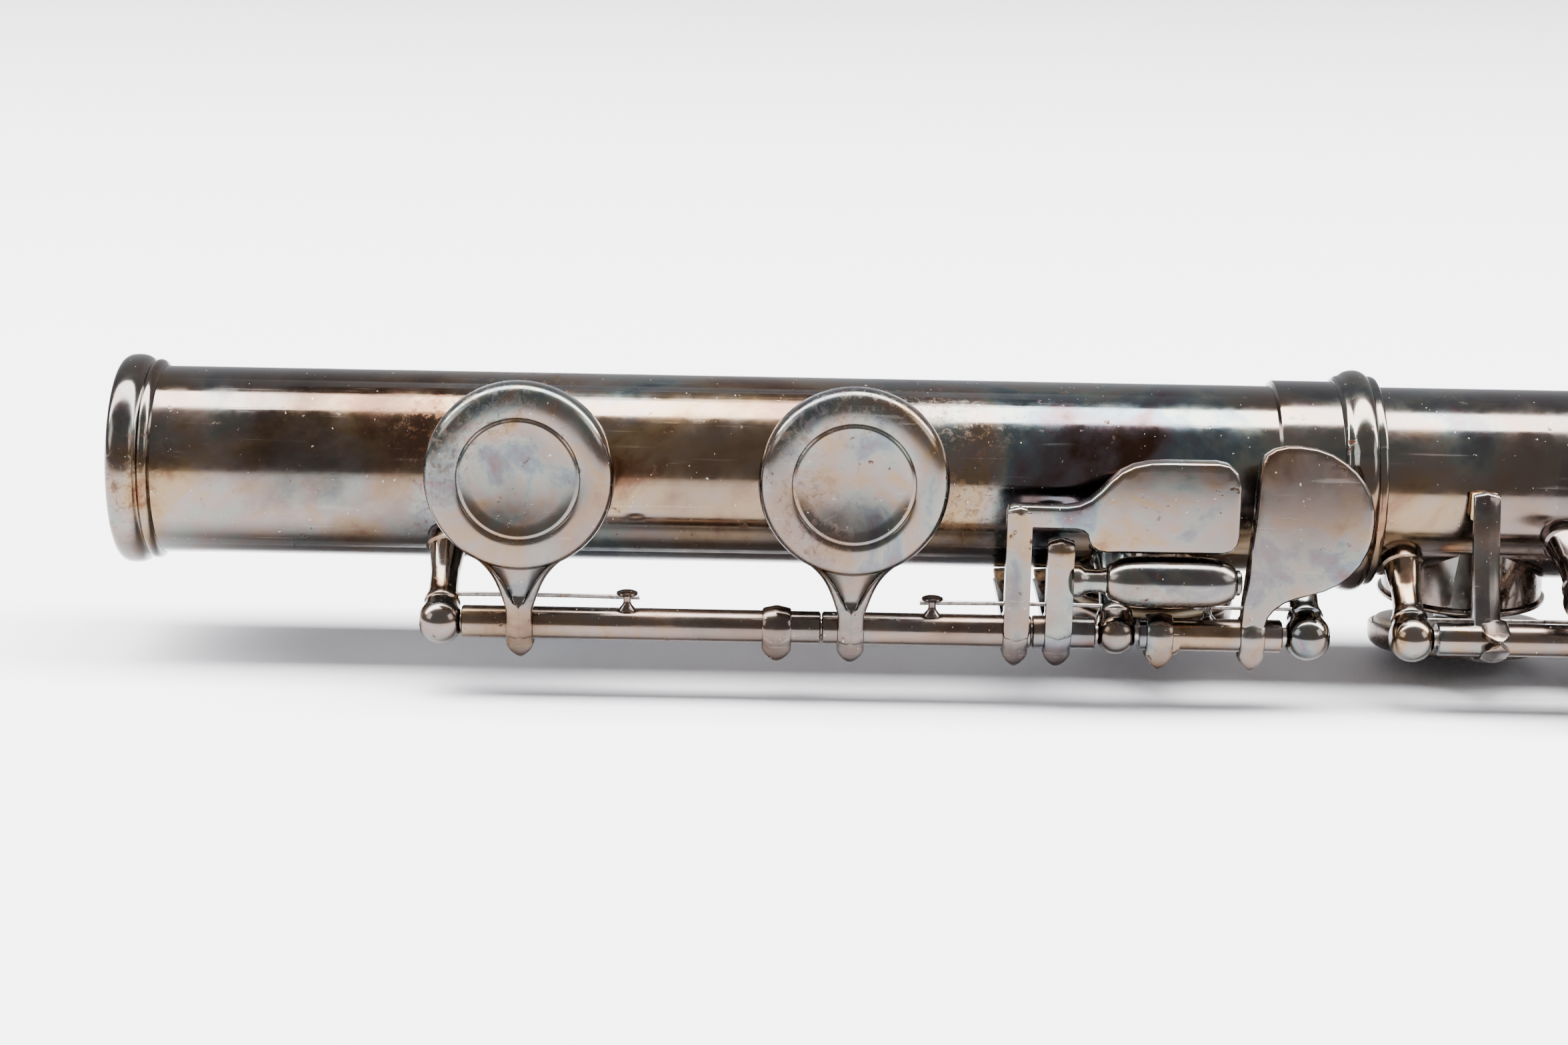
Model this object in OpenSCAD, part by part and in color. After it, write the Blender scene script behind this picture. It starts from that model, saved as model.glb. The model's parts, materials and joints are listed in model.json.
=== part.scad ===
/* [Tubes] */
// radius of the bore through foot and body
bore_r = 9.5; // [9.3:0.05:9.6]
// outside radius of the foot tube
foot_r = 9.9; // [9.8:0.05:10]
// outside radius of the body tube and its lower tenon
body_r = 10; // [9.9:0.05:10.1]
// length of the foot bore, open end to socket
foot_bore = 121.5; // [118:0.5:124]
// end of the foot joint's socket
foot_end = 132.2; // [130:0.1:134]
// end of the body's bore, where the barrel socket starts
body_end = 427; // [420:1:434]
// top of the barrel
barrel_end = 473; // [468:1:478]
// where the head tube ends under the crown
head_end = 652; // [646:1:658]
// centre of the embouchure hole
mouth_x = 606.4; // [600:0.2:612]
// running clearance of each tenon in its socket
tenon_gap = 0.05; // [0.02:0.01:0.1]

/* [Key cups] */
// height of the chimney rims over the bore axis
seat = 12.4; // [12:0.1:13]
// height of the top of a key cup
cup_top = 16; // [15.5:0.1:17]
// radius of the two open cups on the foot
foot_cup_r = 9.68; // [9:0.01:10]
// how far an open key stands off its hole
open_angle = 9; // [6:0.5:11]
// thickness of the cup wall
cup_wall = 0.5; // [0.4:0.05:0.8]

/* [Hinges] */
// sideways distance from bore axis to key rod
rod_y = 15.6; // [15:0.1:16]
// height of the key rod over the bore axis
rod_z = 12.6; // [12:0.1:13]
// radius of a hinge tube
hinge_r = 1.7; // [1.5:0.05:1.9]
// radius of the steel inside the hinge tubes
steel_r = 0.9; // [0.7:0.05:1.1]
// radius of the bore the steel runs in
hinge_bore = 0.95; // [0.75:0.05:1.15]
// radius of a needle spring
spring_r = 0.22; // [0.15:0.01:0.3]

/* [Hidden] */
$fn = 64;

// angle of each rod about the bore, from the level line behind the flute upwards
rod_a = 219;
trill_a = 200;
thumb_a = 171;
g_sharp_a = 332;
rod_R = sqrt(rod_y * rod_y + rod_z * rod_z);
trill_R = 20.7;
trill_y = trill_R * sin(270 - trill_a);
trill_z = trill_R * cos(270 - trill_a);
side_y = rod_R * sin(270 - g_sharp_a);
side_z = rod_R * cos(270 - g_sharp_a);
foot_turn = 78;
body_turn = 180;
thumb_turn = 30;
g_sharp_turn = -67;
trill_turn = 59;

// tone holes: place along the bore, hole radius
foot_holes = [[43.3, 8.1], [77.1, 8.1]];
d_sharp_hole = [109.4, 7.6];
body_holes = [[142.9, 7.9], [171.7, 7.8], [198.8, 7.8], [224.5, 7.7], [248.7, 7.4], [271.6, 7.4],
    [293.2, 7.1], [313.6, 7], [350, 3.6]];
g_sharp_hole = [248.7, 7.2];
thumb_hole = [332.8, 6.8];
trill_holes = [[366, 3.9], [381, 3.9]];

// ---- shared shapes ----

module along(x) {
  translate([x, 0, 0]) rotate([0, 90, 0]) children();
}

module bar(x0, x1, r) {
  along(x0) cylinder(h = x1 - x0, r = r);
}

module plate(x0, x1, outline) {
  translate([x0, 0, 0]) rotate([90, 0, 90]) linear_extrude(x1 - x0) polygon(outline);
}

module at_rod(s) {
  translate([0, s * rod_y, rod_z]) children();
}

module chimney(hole) {
  wall = hole[1] + 0.5;
  translate([hole[0], 0, 5]) cylinder(h = seat - 5.4, r = wall);
  translate([hole[0], 0, seat - 0.4]) rotate_extrude() translate([wall, 0]) circle(r = 0.4, $fn = 24);
}

module hole_cut(hole) {
  translate([hole[0], 0, 4]) cylinder(h = 12, r = hole[1]);
}

module cup(x, r) {
  inner = r - cup_wall;
  face = 0.645 * r;
  translate([x, 0, 0]) rotate_extrude() polygon([[0, 16.12], [face - 0.4, cup_top], [face, 15.82],
      [face + 0.4, cup_top], [r - 1.1, cup_top], [r - 0.45, 15.78], [r - 0.1, 15.4], [r, 15], [r, 13.1],
      [inner, 13.1], [inner, 15.35], [1.1, 15.35], [1.1, 12.45], [2.6, 12.45], [2.7, 12.2], [1.5, 12.15],
      [1.3, 11.8], [0, 11.7]]);
}

module pad(x, r) {
  inner = r - cup_wall - 0.05;
  translate([x, 0, 0]) rotate_extrude() polygon([[1.15, 12.5], [inner - 0.5, 12.5], [inner - 0.14, 12.65],
      [inner, 13], [inner, 15.3], [1.15, 15.3]]);
}

// flared arm from a cup's rim to the rod, with its sunk panel
module cup_arm(x, r, s, w = 2.75, reach = rod_y) {
  flare = min(4.9, 0.53 * r);
  rim = sqrt(r * r - flare * flare) - 0.14;
  neck = reach - 1.6;
  side = [for (u = [0:0.125:1]) [w / 2 + (flare - w / 2) * pow(1 - u, 1.3), rim + (neck - rim) * u]];
  panel = [for (u = [0:0.2:1]) [0.05 + (flare - 1.2) * pow(1 - u, 1.2), rim - 0.9 + (neck - rim - 0.9) * u]];
  translate([x, 0, 0]) mirror([0, s < 0 ? 1 : 0, 0]) difference() {
    translate([0, 0, 13.5]) linear_extrude(1.9) polygon(concat([[flare - 0.3, rim - 1.2]], side,
        [[w / 2, reach], [-w / 2, reach]], [for (i = [8:-1:0]) [-side[i][0], side[i][1]]],
        [[0.3 - flare, rim - 1.2]]));
    translate([0, 0, 14.8]) linear_extrude(1) polygon(concat(panel,
        [for (i = [5:-1:0]) [-panel[i][0], panel[i][1]]]));
    translate([0, 0, 13]) cylinder(h = 3, r = r - cup_wall / 2);
  }
}

// collar that wraps the hinge tube and ends in a point on the side away from the cup
module saddle(x, w) {
  bar(x - w / 2, x + w / 2, 2.3);
  translate([x, 0, 0]) rotate([-90, 0, 0]) rotate_extrude() polygon([[0, 0], [w / 2, 0], [w / 2, 1.7],
      [0.4 * w, 2.6], [0.2 * w, 3.35], [0, 3.75]]);
}

module point(x, s, w = 2.75) {
  at_rod(s) mirror([0, s < 0 ? 1 : 0, 0]) saddle(x, w);
}

module tail(x, s, w = 2.75) {
  mirror([0, s < 0 ? 1 : 0, 0]) plate(x - w / 2, x + w / 2, [[rod_y - 1.6, rod_z], [rod_y + 0.9, rod_z],
      [15.5, 7], [14.9, 2], [14.2, -2.4], [13, -2.4], [13.3, 2], [13.7, 7]]);
}

module tail_cork(x, s, w = 2.75) {
  mirror([0, s < 0 ? 1 : 0, 0]) plate(x - w / 2, x + w / 2, [[12.3, -2.2], [12.95, -2.2], [13.1, 0.6],
      [12, 0.6], [12.2, -0.8]]);
}

// mushroom catch on the hinge tube for the needle spring
module catch(x, s) {
  at_rod(s) translate([x, 0, 0]) rotate([s * 90, 0, 0]) rotate_extrude() polygon([[0, 1.2], [0.95, 1.4],
      [0.6, 1.85], [0.4, 2.1], [0.4, 3.1], [1.12, 3.2], [1.12, 3.35], [0.6, 3.6], [0, 3.65]]);
}

// one sprung key: cup, arm, point, tail and catch on a hinge tube
module key(x, r, x0, x1, s, catch_x, tail_x = 0) {
  difference() {
    union() {
      cup(x, r);
      cup_arm(x, r, s);
      point(x, s);
      at_rod(s) bar(x0, x1, hinge_r);
      if (tail_x > 0) tail(tail_x, s);
      catch(catch_x, s);
    }
    at_rod(s) bar(x0 - 1, x1 + 1, hinge_bore);
  }
}

module opened(s, by = open_angle) {
  at_rod(s) rotate([-s * by, 0, 0]) translate([0, -s * rod_y, -rod_z]) children();
}

module needle(x0, x1, s) {
  translate([0, s * (rod_y - 2.65), rod_z - 1.2]) bar(x0, x1, spring_r);
}

// turned post standing square on the tube, with its ball on the rod's axis
module post(x, a, tube, R = rod_R, ball = 2.2, bore = hinge_bore) {
  neck = R - ball;
  rotate([a - 90, 0, 0]) difference() {
    union() {
      translate([x, 0, 0]) rotate_extrude() polygon([[0, tube - 1], [2.3, tube - 1], [2.2, tube + 0.3],
          [1.95, tube + 0.6], [1.9, tube + 1.4], [1.5, tube + 2], [1.38, (tube + neck) / 2 + 0.4],
          [1.6, neck - 0.7], [1.75, neck], [1.6, neck + 0.9], [0, neck + 1.2]]);
      translate([x, 0, R]) sphere(r = ball);
    }
    translate([0, 0, R]) bar(x - 4, x + 4, bore);
    bar(x - 4, x + 4, tube);
  }
}

module oval_touch(x0, x1, y0, y1, z0, t) {
  r = (x1 - x0) / 2;
  translate([(x0 + x1) / 2, 0, z0]) linear_extrude(t) union() {
    translate([0, y0 + r]) circle(r = r);
    translate([0, y1 - r]) circle(r = r);
    translate([-r, y0 + r]) square([2 * r, max(y1 - y0 - 2 * r, 0.01)]);
  }
}

// ---- foot joint ----

module foot_tube() {
  color("silver") difference() {
    union() {
      bar(0, foot_end, foot_r);
      bar(foot_bore - 0.3, foot_end, 10.5);
      rotate([foot_turn, 0, 0]) for (h = foot_holes) chimney(h);
      rotate([body_turn, 0, 0]) chimney(d_sharp_hole);
    }
    bar(-1, foot_bore, bore_r);
    bar(foot_bore, foot_end + 1, body_r + tenon_gap);
    rotate([foot_turn, 0, 0]) for (h = foot_holes) hole_cut(h);
    rotate([body_turn, 0, 0]) hole_cut(d_sharp_hole);
  }
}

// bead rings on the open end and on the socket
module foot_rings() {
  color("silver") {
    along(0) rotate_extrude() polygon([[9.92, 0.2], [10.4, 0.05], [10.85, 0.4], [11.1, 1.1], [11.1, 1.9],
        [10.85, 2.6], [10.4, 3.1], [10.3, 3.3], [10.55, 3.6], [10.55, 4], [10.25, 4.3], [9.92, 4.5]]);
    along(0) rotate_extrude() polygon([[10.52, 127.8], [10.7, 128], [11.1, 128.2], [11.55, 128.8], [11.76, 129.6],
        [11.76, 130.3], [11.55, 131], [11.2, 131.4], [11.1, 131.6], [11.1, 132], [10.9, 132.2], [10.52, 132.2]]);
  }
}

module foot_posts() {
  color("silver") difference() {
    union() {
      post(35.1, rod_a, foot_r);
      post(104.3, rod_a, foot_r, ball = 2.05);
      post(123.9, rod_a, 10.5, ball = 2.4);
    }
    rotate([foot_turn, 0, 0]) for (x = [35.1, 104.3, 123.9]) needle(x - 3, x + 3, -1);
    rotate([body_turn, 0, 0]) chimney(d_sharp_hole);
  }
}

module foot_steel() {
  color("dimgray") rotate([body_turn, 0, 0]) at_rod(1) bar(104.4, 124.4, steel_r);
}

module foot_springs() {
  color("slategray") rotate([foot_turn, 0, 0]) {
    needle(34.2, 55.4, -1);
    needle(84.2, 105.2, -1);
    needle(112.4, 124.8, -1);
  }
}

module low_c_key() {
  color("silver") rotate([foot_turn, 0, 0]) opened(-1) {
    difference() {
      union() {
        key(43.3, foot_cup_r, 37.3, 74.05, -1, 54.2);
        point(69.55, -1, 3);
      }
      at_rod(-1) bar(36, 75, hinge_bore);
    }
    at_rod(-1) difference() {
      bar(37.35, 74, hinge_bore + 0.02);
      bar(37, 75, steel_r);
    }
  }
}

// the key's own steel, pinned in its tube, runs through the next key to the lever
module low_c_steel() {
  color("dimgray") rotate([foot_turn, 0, 0]) opened(-1) at_rod(-1) bar(34, 104.2, steel_r);
}

// lever at the far end of the turning steel, with the pin the roller spins on
module low_c_lever() {
  color("silver") rotate([foot_turn, 0, 0]) opened(-1) {
    difference() {
      union() {
        at_rod(-1) bar(95.65, 102.1, hinge_r);
        point(98.2, -1);
        tail(98.2, -1);
        translate([96.82, -rod_y, 13.2]) cube([2.75, 10.2, 2.4]);
      }
      translate([96, -5.9, 12.2]) rotate([30, 0, 0]) cube([5, 3, 1.4]);
      at_rod(-1) bar(95, 103, steel_r);
    }
    translate([0, -9.65, 14.4]) {
      bar(99.4, 116.2, 0.8);
      along(99.4) rotate_extrude() polygon([[0, 0], [1.7, 0], [1.75, 1], [1.35, 1.9], [1.2, 2.8], [0, 3.2]]);
      bar(116.1, 116.6, 1.4);
    }
  }
}

module roller() {
  color("silver") rotate([foot_turn, 0, 0]) opened(-1) translate([0, -9.65, 14.4]) along(102.9)
    difference() {
      rotate_extrude() polygon([[0, 0], [1.5, 0], [2.1, 0.35], [2.5, 1], [2.6, 1.8], [2.6, 11.2], [2.5, 12],
          [2.1, 12.7], [1.5, 13.05], [0, 13.05]]);
      translate([0, 0, -1]) cylinder(h = 16, r = 0.87);
    }
}

module c_sharp_key() {
  color("silver") rotate([foot_turn, 0, 0]) opened(-1) key(77.1, foot_cup_r, 74.15, 95.55, -1, 85.4);
}

// arm and leaf-shaped plate soldered round the end of the key's tube
module c_sharp_plate() {
  leaf = [for (t = [0:10:90]) [99.6 + 6.4 * sin(t) * sin(t), -1.6 + 4.45 * sin(t)]];
  color("silver") rotate([foot_turn, 0, 0]) opened(-1) difference() {
    union() {
      point(93.9, -1, 2.6);
      tail(93.9, -1, 2.6);
      translate([92.6, -rod_y, 13.2]) cube([2.6, 13, 2.2]);
      translate([0, 0, 14]) linear_extrude(1.9) union() {
        translate([94.2, -2.9]) circle(r = 1.6);
        translate([94.2, -4.2]) square([8, 2.6]);
        polygon(concat([[99.6, -4.2], [102.2, -6.55], [114.4, -6.55], [116.1, -4.9], [116.1, 1.1], [114.4, 2.85]],
            [for (i = [9:-1:0]) leaf[i]]));
        translate([114.4, -4.85]) circle(r = 1.7);
        translate([114.4, 1.15]) circle(r = 1.7);
      }
    }
    at_rod(-1) bar(92, 97, hinge_r);
  }
}

module d_sharp_key() {
  lobe = [for (t = [90:-15:-90]) [121.6 + 8.2 * cos(t), -3 + 6.8 * sin(t)]];
  color("silver") difference() {
    union() {
      rotate([body_turn, 0, 0]) {
        cup(109.4, 9);
        cup_arm(109.4, 9, 1);
      }
      rotate([foot_turn, 0, 0]) {
        at_rod(-1) bar(106.5, 121.2, hinge_r);
        point(108.65, -1);
        point(118.3, -1);
        catch(113.6, -1);
        translate([117, -rod_y, 13]) cube([2.6, 5, 2.2]);
        translate([0, 0, 14.6]) linear_extrude(2) polygon(concat([[118.2, 3.2], [119.4, 3.8]], lobe,
            [[120.8, -10.4], [119.7, -12.5], [117, -12.5], [117.4, -8], [117.9, -3]]));
      }
    }
    rotate([foot_turn, 0, 0]) at_rod(-1) bar(105, 122, hinge_bore);
  }
}

module low_c_pad() {
  color("wheat") rotate([foot_turn, 0, 0]) opened(-1) {
    pad(43.3, foot_cup_r);
    tail_cork(98.2, -1);
  }
}

module c_sharp_pad() {
  color("wheat") rotate([foot_turn, 0, 0]) opened(-1) {
    pad(77.1, foot_cup_r);
    tail_cork(93.9, -1, 2.6);
  }
}

module d_sharp_pad() {
  color("wheat") rotate([body_turn, 0, 0]) pad(109.4, 9);
}

// ---- body joint ----

module body_tube() {
  color("silver") difference() {
    union() {
      bar(123, body_end, body_r);
      rotate([body_turn, 0, 0]) for (h = body_holes) chimney(h);
      rotate([g_sharp_turn, 0, 0]) chimney(g_sharp_hole);
      rotate([thumb_turn, 0, 0]) chimney(thumb_hole);
      rotate([trill_turn, 0, 0]) for (h = trill_holes) chimney(h);
    }
    bar(122, body_end + 1, bore_r);
    rotate([body_turn, 0, 0]) for (h = body_holes) hole_cut(h);
    rotate([g_sharp_turn, 0, 0]) hole_cut(g_sharp_hole);
    rotate([thumb_turn, 0, 0]) hole_cut(thumb_hole);
    rotate([trill_turn, 0, 0]) for (h = trill_holes) hole_cut(h);
  }
}

// thick sleeve that takes the head's tenon, ringed at both ends
module barrel() {
  color("silver") along(0) rotate_extrude() polygon([[10.02, 415], [11.4, 415], [11.9, 415.6], [12, 416.4],
      [11.9, 417.2], [11.4, 417.8], [11, 418], [11, 464], [11.3, 464.2], [11.9, 464.6], [12.2, 465.6],
      [12.2, 466.4], [11.9, 467.4], [11.5, 467.8], [11.5, 470], [11.9, 470.3], [12.2, 471], [12.2, 471.8],
      [11.8, 472.7], [11.3, barrel_end], [9.96, barrel_end], [9.96, body_end + 0.02], [10.02, body_end + 0.02]]);
}

module body_posts() {
  color("silver") difference() {
    union() {
      post(134.6, rod_a, body_r, ball = 2.4);
      for (x = [238.3, 323.6, 359.2]) post(x, rod_a, body_r);
      for (x = [150.9, 388.3]) post(x, trill_a, body_r, R = trill_R);
      for (x = [233, 318]) post(x, trill_a, body_r, R = trill_R, ball = 2.9, bore = hinge_r + 0.07);
      for (x = [320.6, 350.4]) post(x, thumb_a, body_r);
      for (x = [236.4, 286.4]) post(x, g_sharp_a, body_r);
    }
    rotate([body_turn, 0, 0]) for (x = [134.6, 238.3, 323.6, 359.2]) needle(x - 3, x + 3, 1);
  }
}

module body_steel() {
  color("dimgray") {
    rotate([body_turn, 0, 0]) at_rod(1) bar(133.5, 360.3, steel_r);
    rotate([thumb_a - 90, 0, 0]) translate([0, 0, rod_R]) bar(319.6, 351.4, steel_r);
    rotate([g_sharp_a - 90, 0, 0]) translate([0, 0, rod_R]) bar(235.4, 287.4, steel_r);
  }
}

module body_springs() {
  color("slategray") rotate([body_turn, 0, 0]) {
    needle(133.8, 154.6, 1);
    needle(221.4, 239.2, 1);
    needle(322.8, 340.6, 1);
    needle(344, 360, 1);
  }
}

module d_key() {
  color("silver") rotate([body_turn, 0, 0]) opened(1)
    key(142.9, 9.6, 137.1, 157.5, 1, 153.4, 142.2);
}

module e_key() {
  color("silver") rotate([body_turn, 0, 0]) opened(1)
    key(171.7, 9.45, 157.6, 184.8, 1, 162, 178);
}

module f_key() {
  color("silver") rotate([body_turn, 0, 0]) opened(1)
    key(198.8, 9.4, 184.9, 211.4, 1, 192, 206);
}

module f_sharp_key() {
  color("silver") rotate([body_turn, 0, 0]) opened(1)
    key(224.5, 9.3, 211.5, 235.9, 1, 222.6, 216);
}

// one hinge tube carries both G cups
module g_key() {
  color("silver") rotate([body_turn, 0, 0]) opened(1) difference() {
    union() {
      key(248.7, 9, 240.7, 282.4, 1, 262, 256);
      cup(271.6, 9);
      cup_arm(271.6, 9, 1);
      point(271.6, 1);
    }
    at_rod(1) bar(240, 283, hinge_bore);
  }
}

module a_key() {
  color("silver") rotate([body_turn, 0, 0]) opened(1)
    key(293.2, 8.7, 282.5, 303, 1, 286, 299.6);
}

module b_flat_key() {
  color("silver") rotate([body_turn, 0, 0]) opened(1)
    key(313.6, 8.7, 303.1, 321.3, 1, 306.4, 309.4);
}

// small cup and finger disc on one tube
module c_key() {
  color("silver") rotate([body_turn, 0, 0]) opened(1) difference() {
    union() {
      key(350, 5.3, 326, 356.8, 1, 344.8, 340);
      cup_arm(333.4, 6.6, 1);
      point(333.4, 1);
      oval_touch(326.8, 340, -6.6, 6.6, 13.6, 2.2);
    }
    at_rod(1) bar(325, 358, hinge_bore);
  }
}

module d_pad() {
  color("wheat") rotate([body_turn, 0, 0]) opened(1) {
    pad(142.9, 9.6);
    tail_cork(142.2, 1);
  }
}

module e_pad() {
  color("wheat") rotate([body_turn, 0, 0]) opened(1) {
    pad(171.7, 9.45);
    tail_cork(178, 1);
  }
}

module f_pad() {
  color("wheat") rotate([body_turn, 0, 0]) opened(1) {
    pad(198.8, 9.4);
    tail_cork(206, 1);
  }
}

module f_sharp_pad() {
  color("wheat") rotate([body_turn, 0, 0]) opened(1) {
    pad(224.5, 9.3);
    tail_cork(216, 1);
  }
}

module g_pads() {
  color("wheat") rotate([body_turn, 0, 0]) opened(1) {
    pad(248.7, 9);
    pad(271.6, 9);
    tail_cork(256, 1);
  }
}

module a_pad() {
  color("wheat") rotate([body_turn, 0, 0]) opened(1) {
    pad(293.2, 8.7);
    tail_cork(299.6, 1);
  }
}

module b_flat_pad() {
  color("wheat") rotate([body_turn, 0, 0]) opened(1) {
    pad(313.6, 8.7);
    tail_cork(309.4, 1);
  }
}

module c_pad() {
  color("wheat") rotate([body_turn, 0, 0]) opened(1) {
    pad(350, 5.3);
    tail_cork(340, 1);
  }
}

// closed key on the far side: cup on one side of its rod, touch on the other
module g_sharp_key() {
  color("silver") difference() {
    union() {
      rotate([g_sharp_turn, 0, 0]) {
        cup(248.7, 8.8);
        cup_arm(248.7, 8.8, 1);
        point(248.7, 1, 2.6);
      }
      rotate([body_turn, 0, 0]) {
        translate([0, side_y, side_z]) bar(238.8, 284, hinge_r);
        plate(266, 269, [[side_y - 1.2, side_z], [side_y + 1.6, side_z], [-15.2, 14.2], [-15.2, 16],
            [-18.4, 15.6]]);
        translate([0, 0, 14.6]) linear_extrude(1.8) union() {
          translate([262, -13.4]) circle(r = 3);
          translate([279, -14.2]) circle(r = 2.2);
          polygon([[262, -16.4], [279, -16.4], [279, -12], [262, -10.4]]);
        }
      }
    }
    rotate([body_turn, 0, 0]) translate([0, side_y, side_z]) bar(238, 285, hinge_bore);
  }
}

module g_sharp_pad() {
  color("wheat") rotate([g_sharp_turn, 0, 0]) pad(248.7, 8.8);
}

module thumb_key() {
  color("silver") rotate([thumb_turn, 0, 0]) opened(-1) difference() {
    union() {
      key(332.8, 8.4, 329, 348, -1, 343.4, 346.6);
      oval_touch(326.8, 338.8, -2, 16, 15.95, 1.6);
    }
    at_rod(-1) bar(328, 349, hinge_bore);
  }
}

module thumb_pad() {
  color("wheat") rotate([thumb_turn, 0, 0]) opened(-1) {
    pad(332.8, 8.4);
    tail_cork(346.6, -1);
  }
}

// second touch beside the thumb's cup
module thumb_b_flat_key() {
  color("silver") rotate([thumb_turn, 0, 0]) opened(-1) difference() {
    union() {
      at_rod(-1) bar(323.1, 328.9, hinge_r);
      point(324.6, -1, 2.6);
      translate([323.3, -rod_y, 13.2]) cube([2.6, 8.6, 2.2]);
      translate([316, -10, 13.6]) cube([9.5, 3, 1.8]);
      oval_touch(312.6, 322.6, -9, 9, 14, 1.9);
    }
    at_rod(-1) bar(322, 330, hinge_bore);
  }
}

// touch between the finger cups, reached from the trill rod round the main rod
module trill_touch(x, w) {
  plate(x - 1.4, x + 1.4, [[trill_y - 1.4, trill_z + 0.6], [trill_y - 0.9, 13], [trill_y - 1.4, 15.7],
      [6, 15.9], [6, 17.4], [trill_y, 17.5], [trill_y + 1.3, 15.4], [trill_y + 1.5, trill_z]]);
  oval_touch(x - w / 2, x + w / 2, 0.5, 11.5, 16.6, 1.6);
}

module trill_cup(x) {
  cup(x, 5.4);
  cup_arm(x, 5.4, -1, reach = 16.1);
}

module d_trill_key() {
  color("silver") difference() {
    union() {
      rotate([trill_turn, 0, 0]) trill_cup(366);
      rotate([body_turn, 0, 0]) translate([0, trill_y, trill_z]) {
        bar(161, 370.9, hinge_r);
        bar(364.6, 367.4, 2.3);
      }
    }
    rotate([body_turn, 0, 0]) translate([0, trill_y, trill_z]) bar(160, 372, hinge_bore);
  }
}

module d_trill_touch() {
  color("silver") rotate([body_turn, 0, 0]) difference() {
    trill_touch(185.3, 6.4);
    translate([0, trill_y, trill_z]) bar(180, 190, hinge_r);
  }
}

module d_trill_pad() {
  color("wheat") rotate([trill_turn, 0, 0]) pad(366, 5.4);
}

// touch and cup are joined by the steel that turns inside the other trill key's tube
module d_sharp_trill_key() {
  color("silver") {
    difference() {
      union() {
        rotate([trill_turn, 0, 0]) trill_cup(381);
        rotate([body_turn, 0, 0]) translate([0, trill_y, trill_z]) {
          bar(371, 385.8, hinge_r);
          bar(379.6, 382.4, 2.3);
        }
      }
      rotate([body_turn, 0, 0]) translate([0, trill_y, trill_z]) bar(370, 387, steel_r);
    }
  }
}

module d_sharp_trill_steel() {
  color("dimgray") rotate([body_turn, 0, 0]) translate([0, trill_y, trill_z]) bar(150, 389.2, steel_r);
}

module d_sharp_trill_touch() {
  color("silver") rotate([body_turn, 0, 0]) difference() {
    union() {
      translate([0, trill_y, trill_z]) bar(153.4, 160.9, hinge_r);
      trill_touch(157.4, 7);
    }
    translate([0, trill_y, trill_z]) bar(153, 162, steel_r);
  }
}

module d_sharp_trill_pad() {
  color("wheat") rotate([trill_turn, 0, 0]) pad(381, 5.4);
}

// ---- head joint ----

// parabolic taper from tenon to stopper
module head_tube() {
  taper = [for (i = [0:8]) [475 + i * 18.5, 0.9 * (i / 8) * (2 - i / 8) * 0.9]];
  color("silver") difference() {
    union() {
      along(0) rotate_extrude() polygon(concat([[bore_r, 428.2], [9.91, 428.2]], [for (p = taper) [9.91 - p[1], p[0]]],
          [[9.1, head_end], [8.7, head_end]], [for (i = [8:-1:0]) [bore_r - taper[i][1], taper[i][0]]]));
    }
    mouth_cut(11);
  }
}

module mouth_cut(top) {
  rotate([body_turn, 0, 0]) translate([mouth_x, 0, 2]) linear_extrude(top) polygon([for (t = [0:10:350])
      [6.1 * sign(cos(t)) * pow(abs(cos(t)), 0.8), 5.15 * sign(sin(t)) * pow(abs(sin(t)), 0.8)]]);
}

// lip plate on its riser
module lip_plate() {
  oval = [for (t = [0:7.5:352.5]) [21.5 * cos(t), 12.4 * sin(t) * (1 - 0.16 * cos(t) * cos(t))]];
  color("silver") difference() {
    union() {
      intersection() {
        along(mouth_x - 22) difference() {
          cylinder(h = 44, r = 14.1);
          translate([0, 0, -1]) cylinder(h = 46, r = 13.3);
        }
        rotate([body_turn, 0, 0]) translate([mouth_x, 0, 2]) linear_extrude(14) polygon(oval);
      }
      rotate([body_turn, 0, 0]) translate([mouth_x, 0, 5]) linear_extrude(8.5) polygon([for (t = [0:10:350])
          [7.3 * cos(t), 6.3 * sin(t)]]);
    }
    along(0) rotate_extrude() polygon([[0, 570], [9.45, 570], [9.115, 623.2], [9.115, 650], [0, 650]]);
    mouth_cut(20);
  }
}

module stopper_cork() {
  color("tan") difference() {
    bar(625.3, 640, 8.64);
    bar(625, 641, 2.05);
  }
}

// metal disc, threaded rod and nut that hold the cork
module stopper_screw() {
  color("silver") {
    bar(623.7, 625.2, 8.5);
    bar(625, 655, 2);
    bar(640.1, 641.6, 7.5);
    bar(641.5, 644.5, 3.6);
  }
}

module crown() {
  color("silver") along(0) rotate_extrude() polygon([[2.05, 646], [8.6, 646], [8.6, 652.1], [9.9, 652.2],
      [10.3, 652.8], [10.4, 654], [10.3, 656.4], [9.8, 657.2], [9.9, 657.6], [9.4, 659.2], [7.8, 660.9],
      [5, 662.1], [3.2, 662.5], [2.4, 663.3], [1.4, 664], [0, 664.2], [0, 655.4], [2.05, 655.4]]);
}

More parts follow.
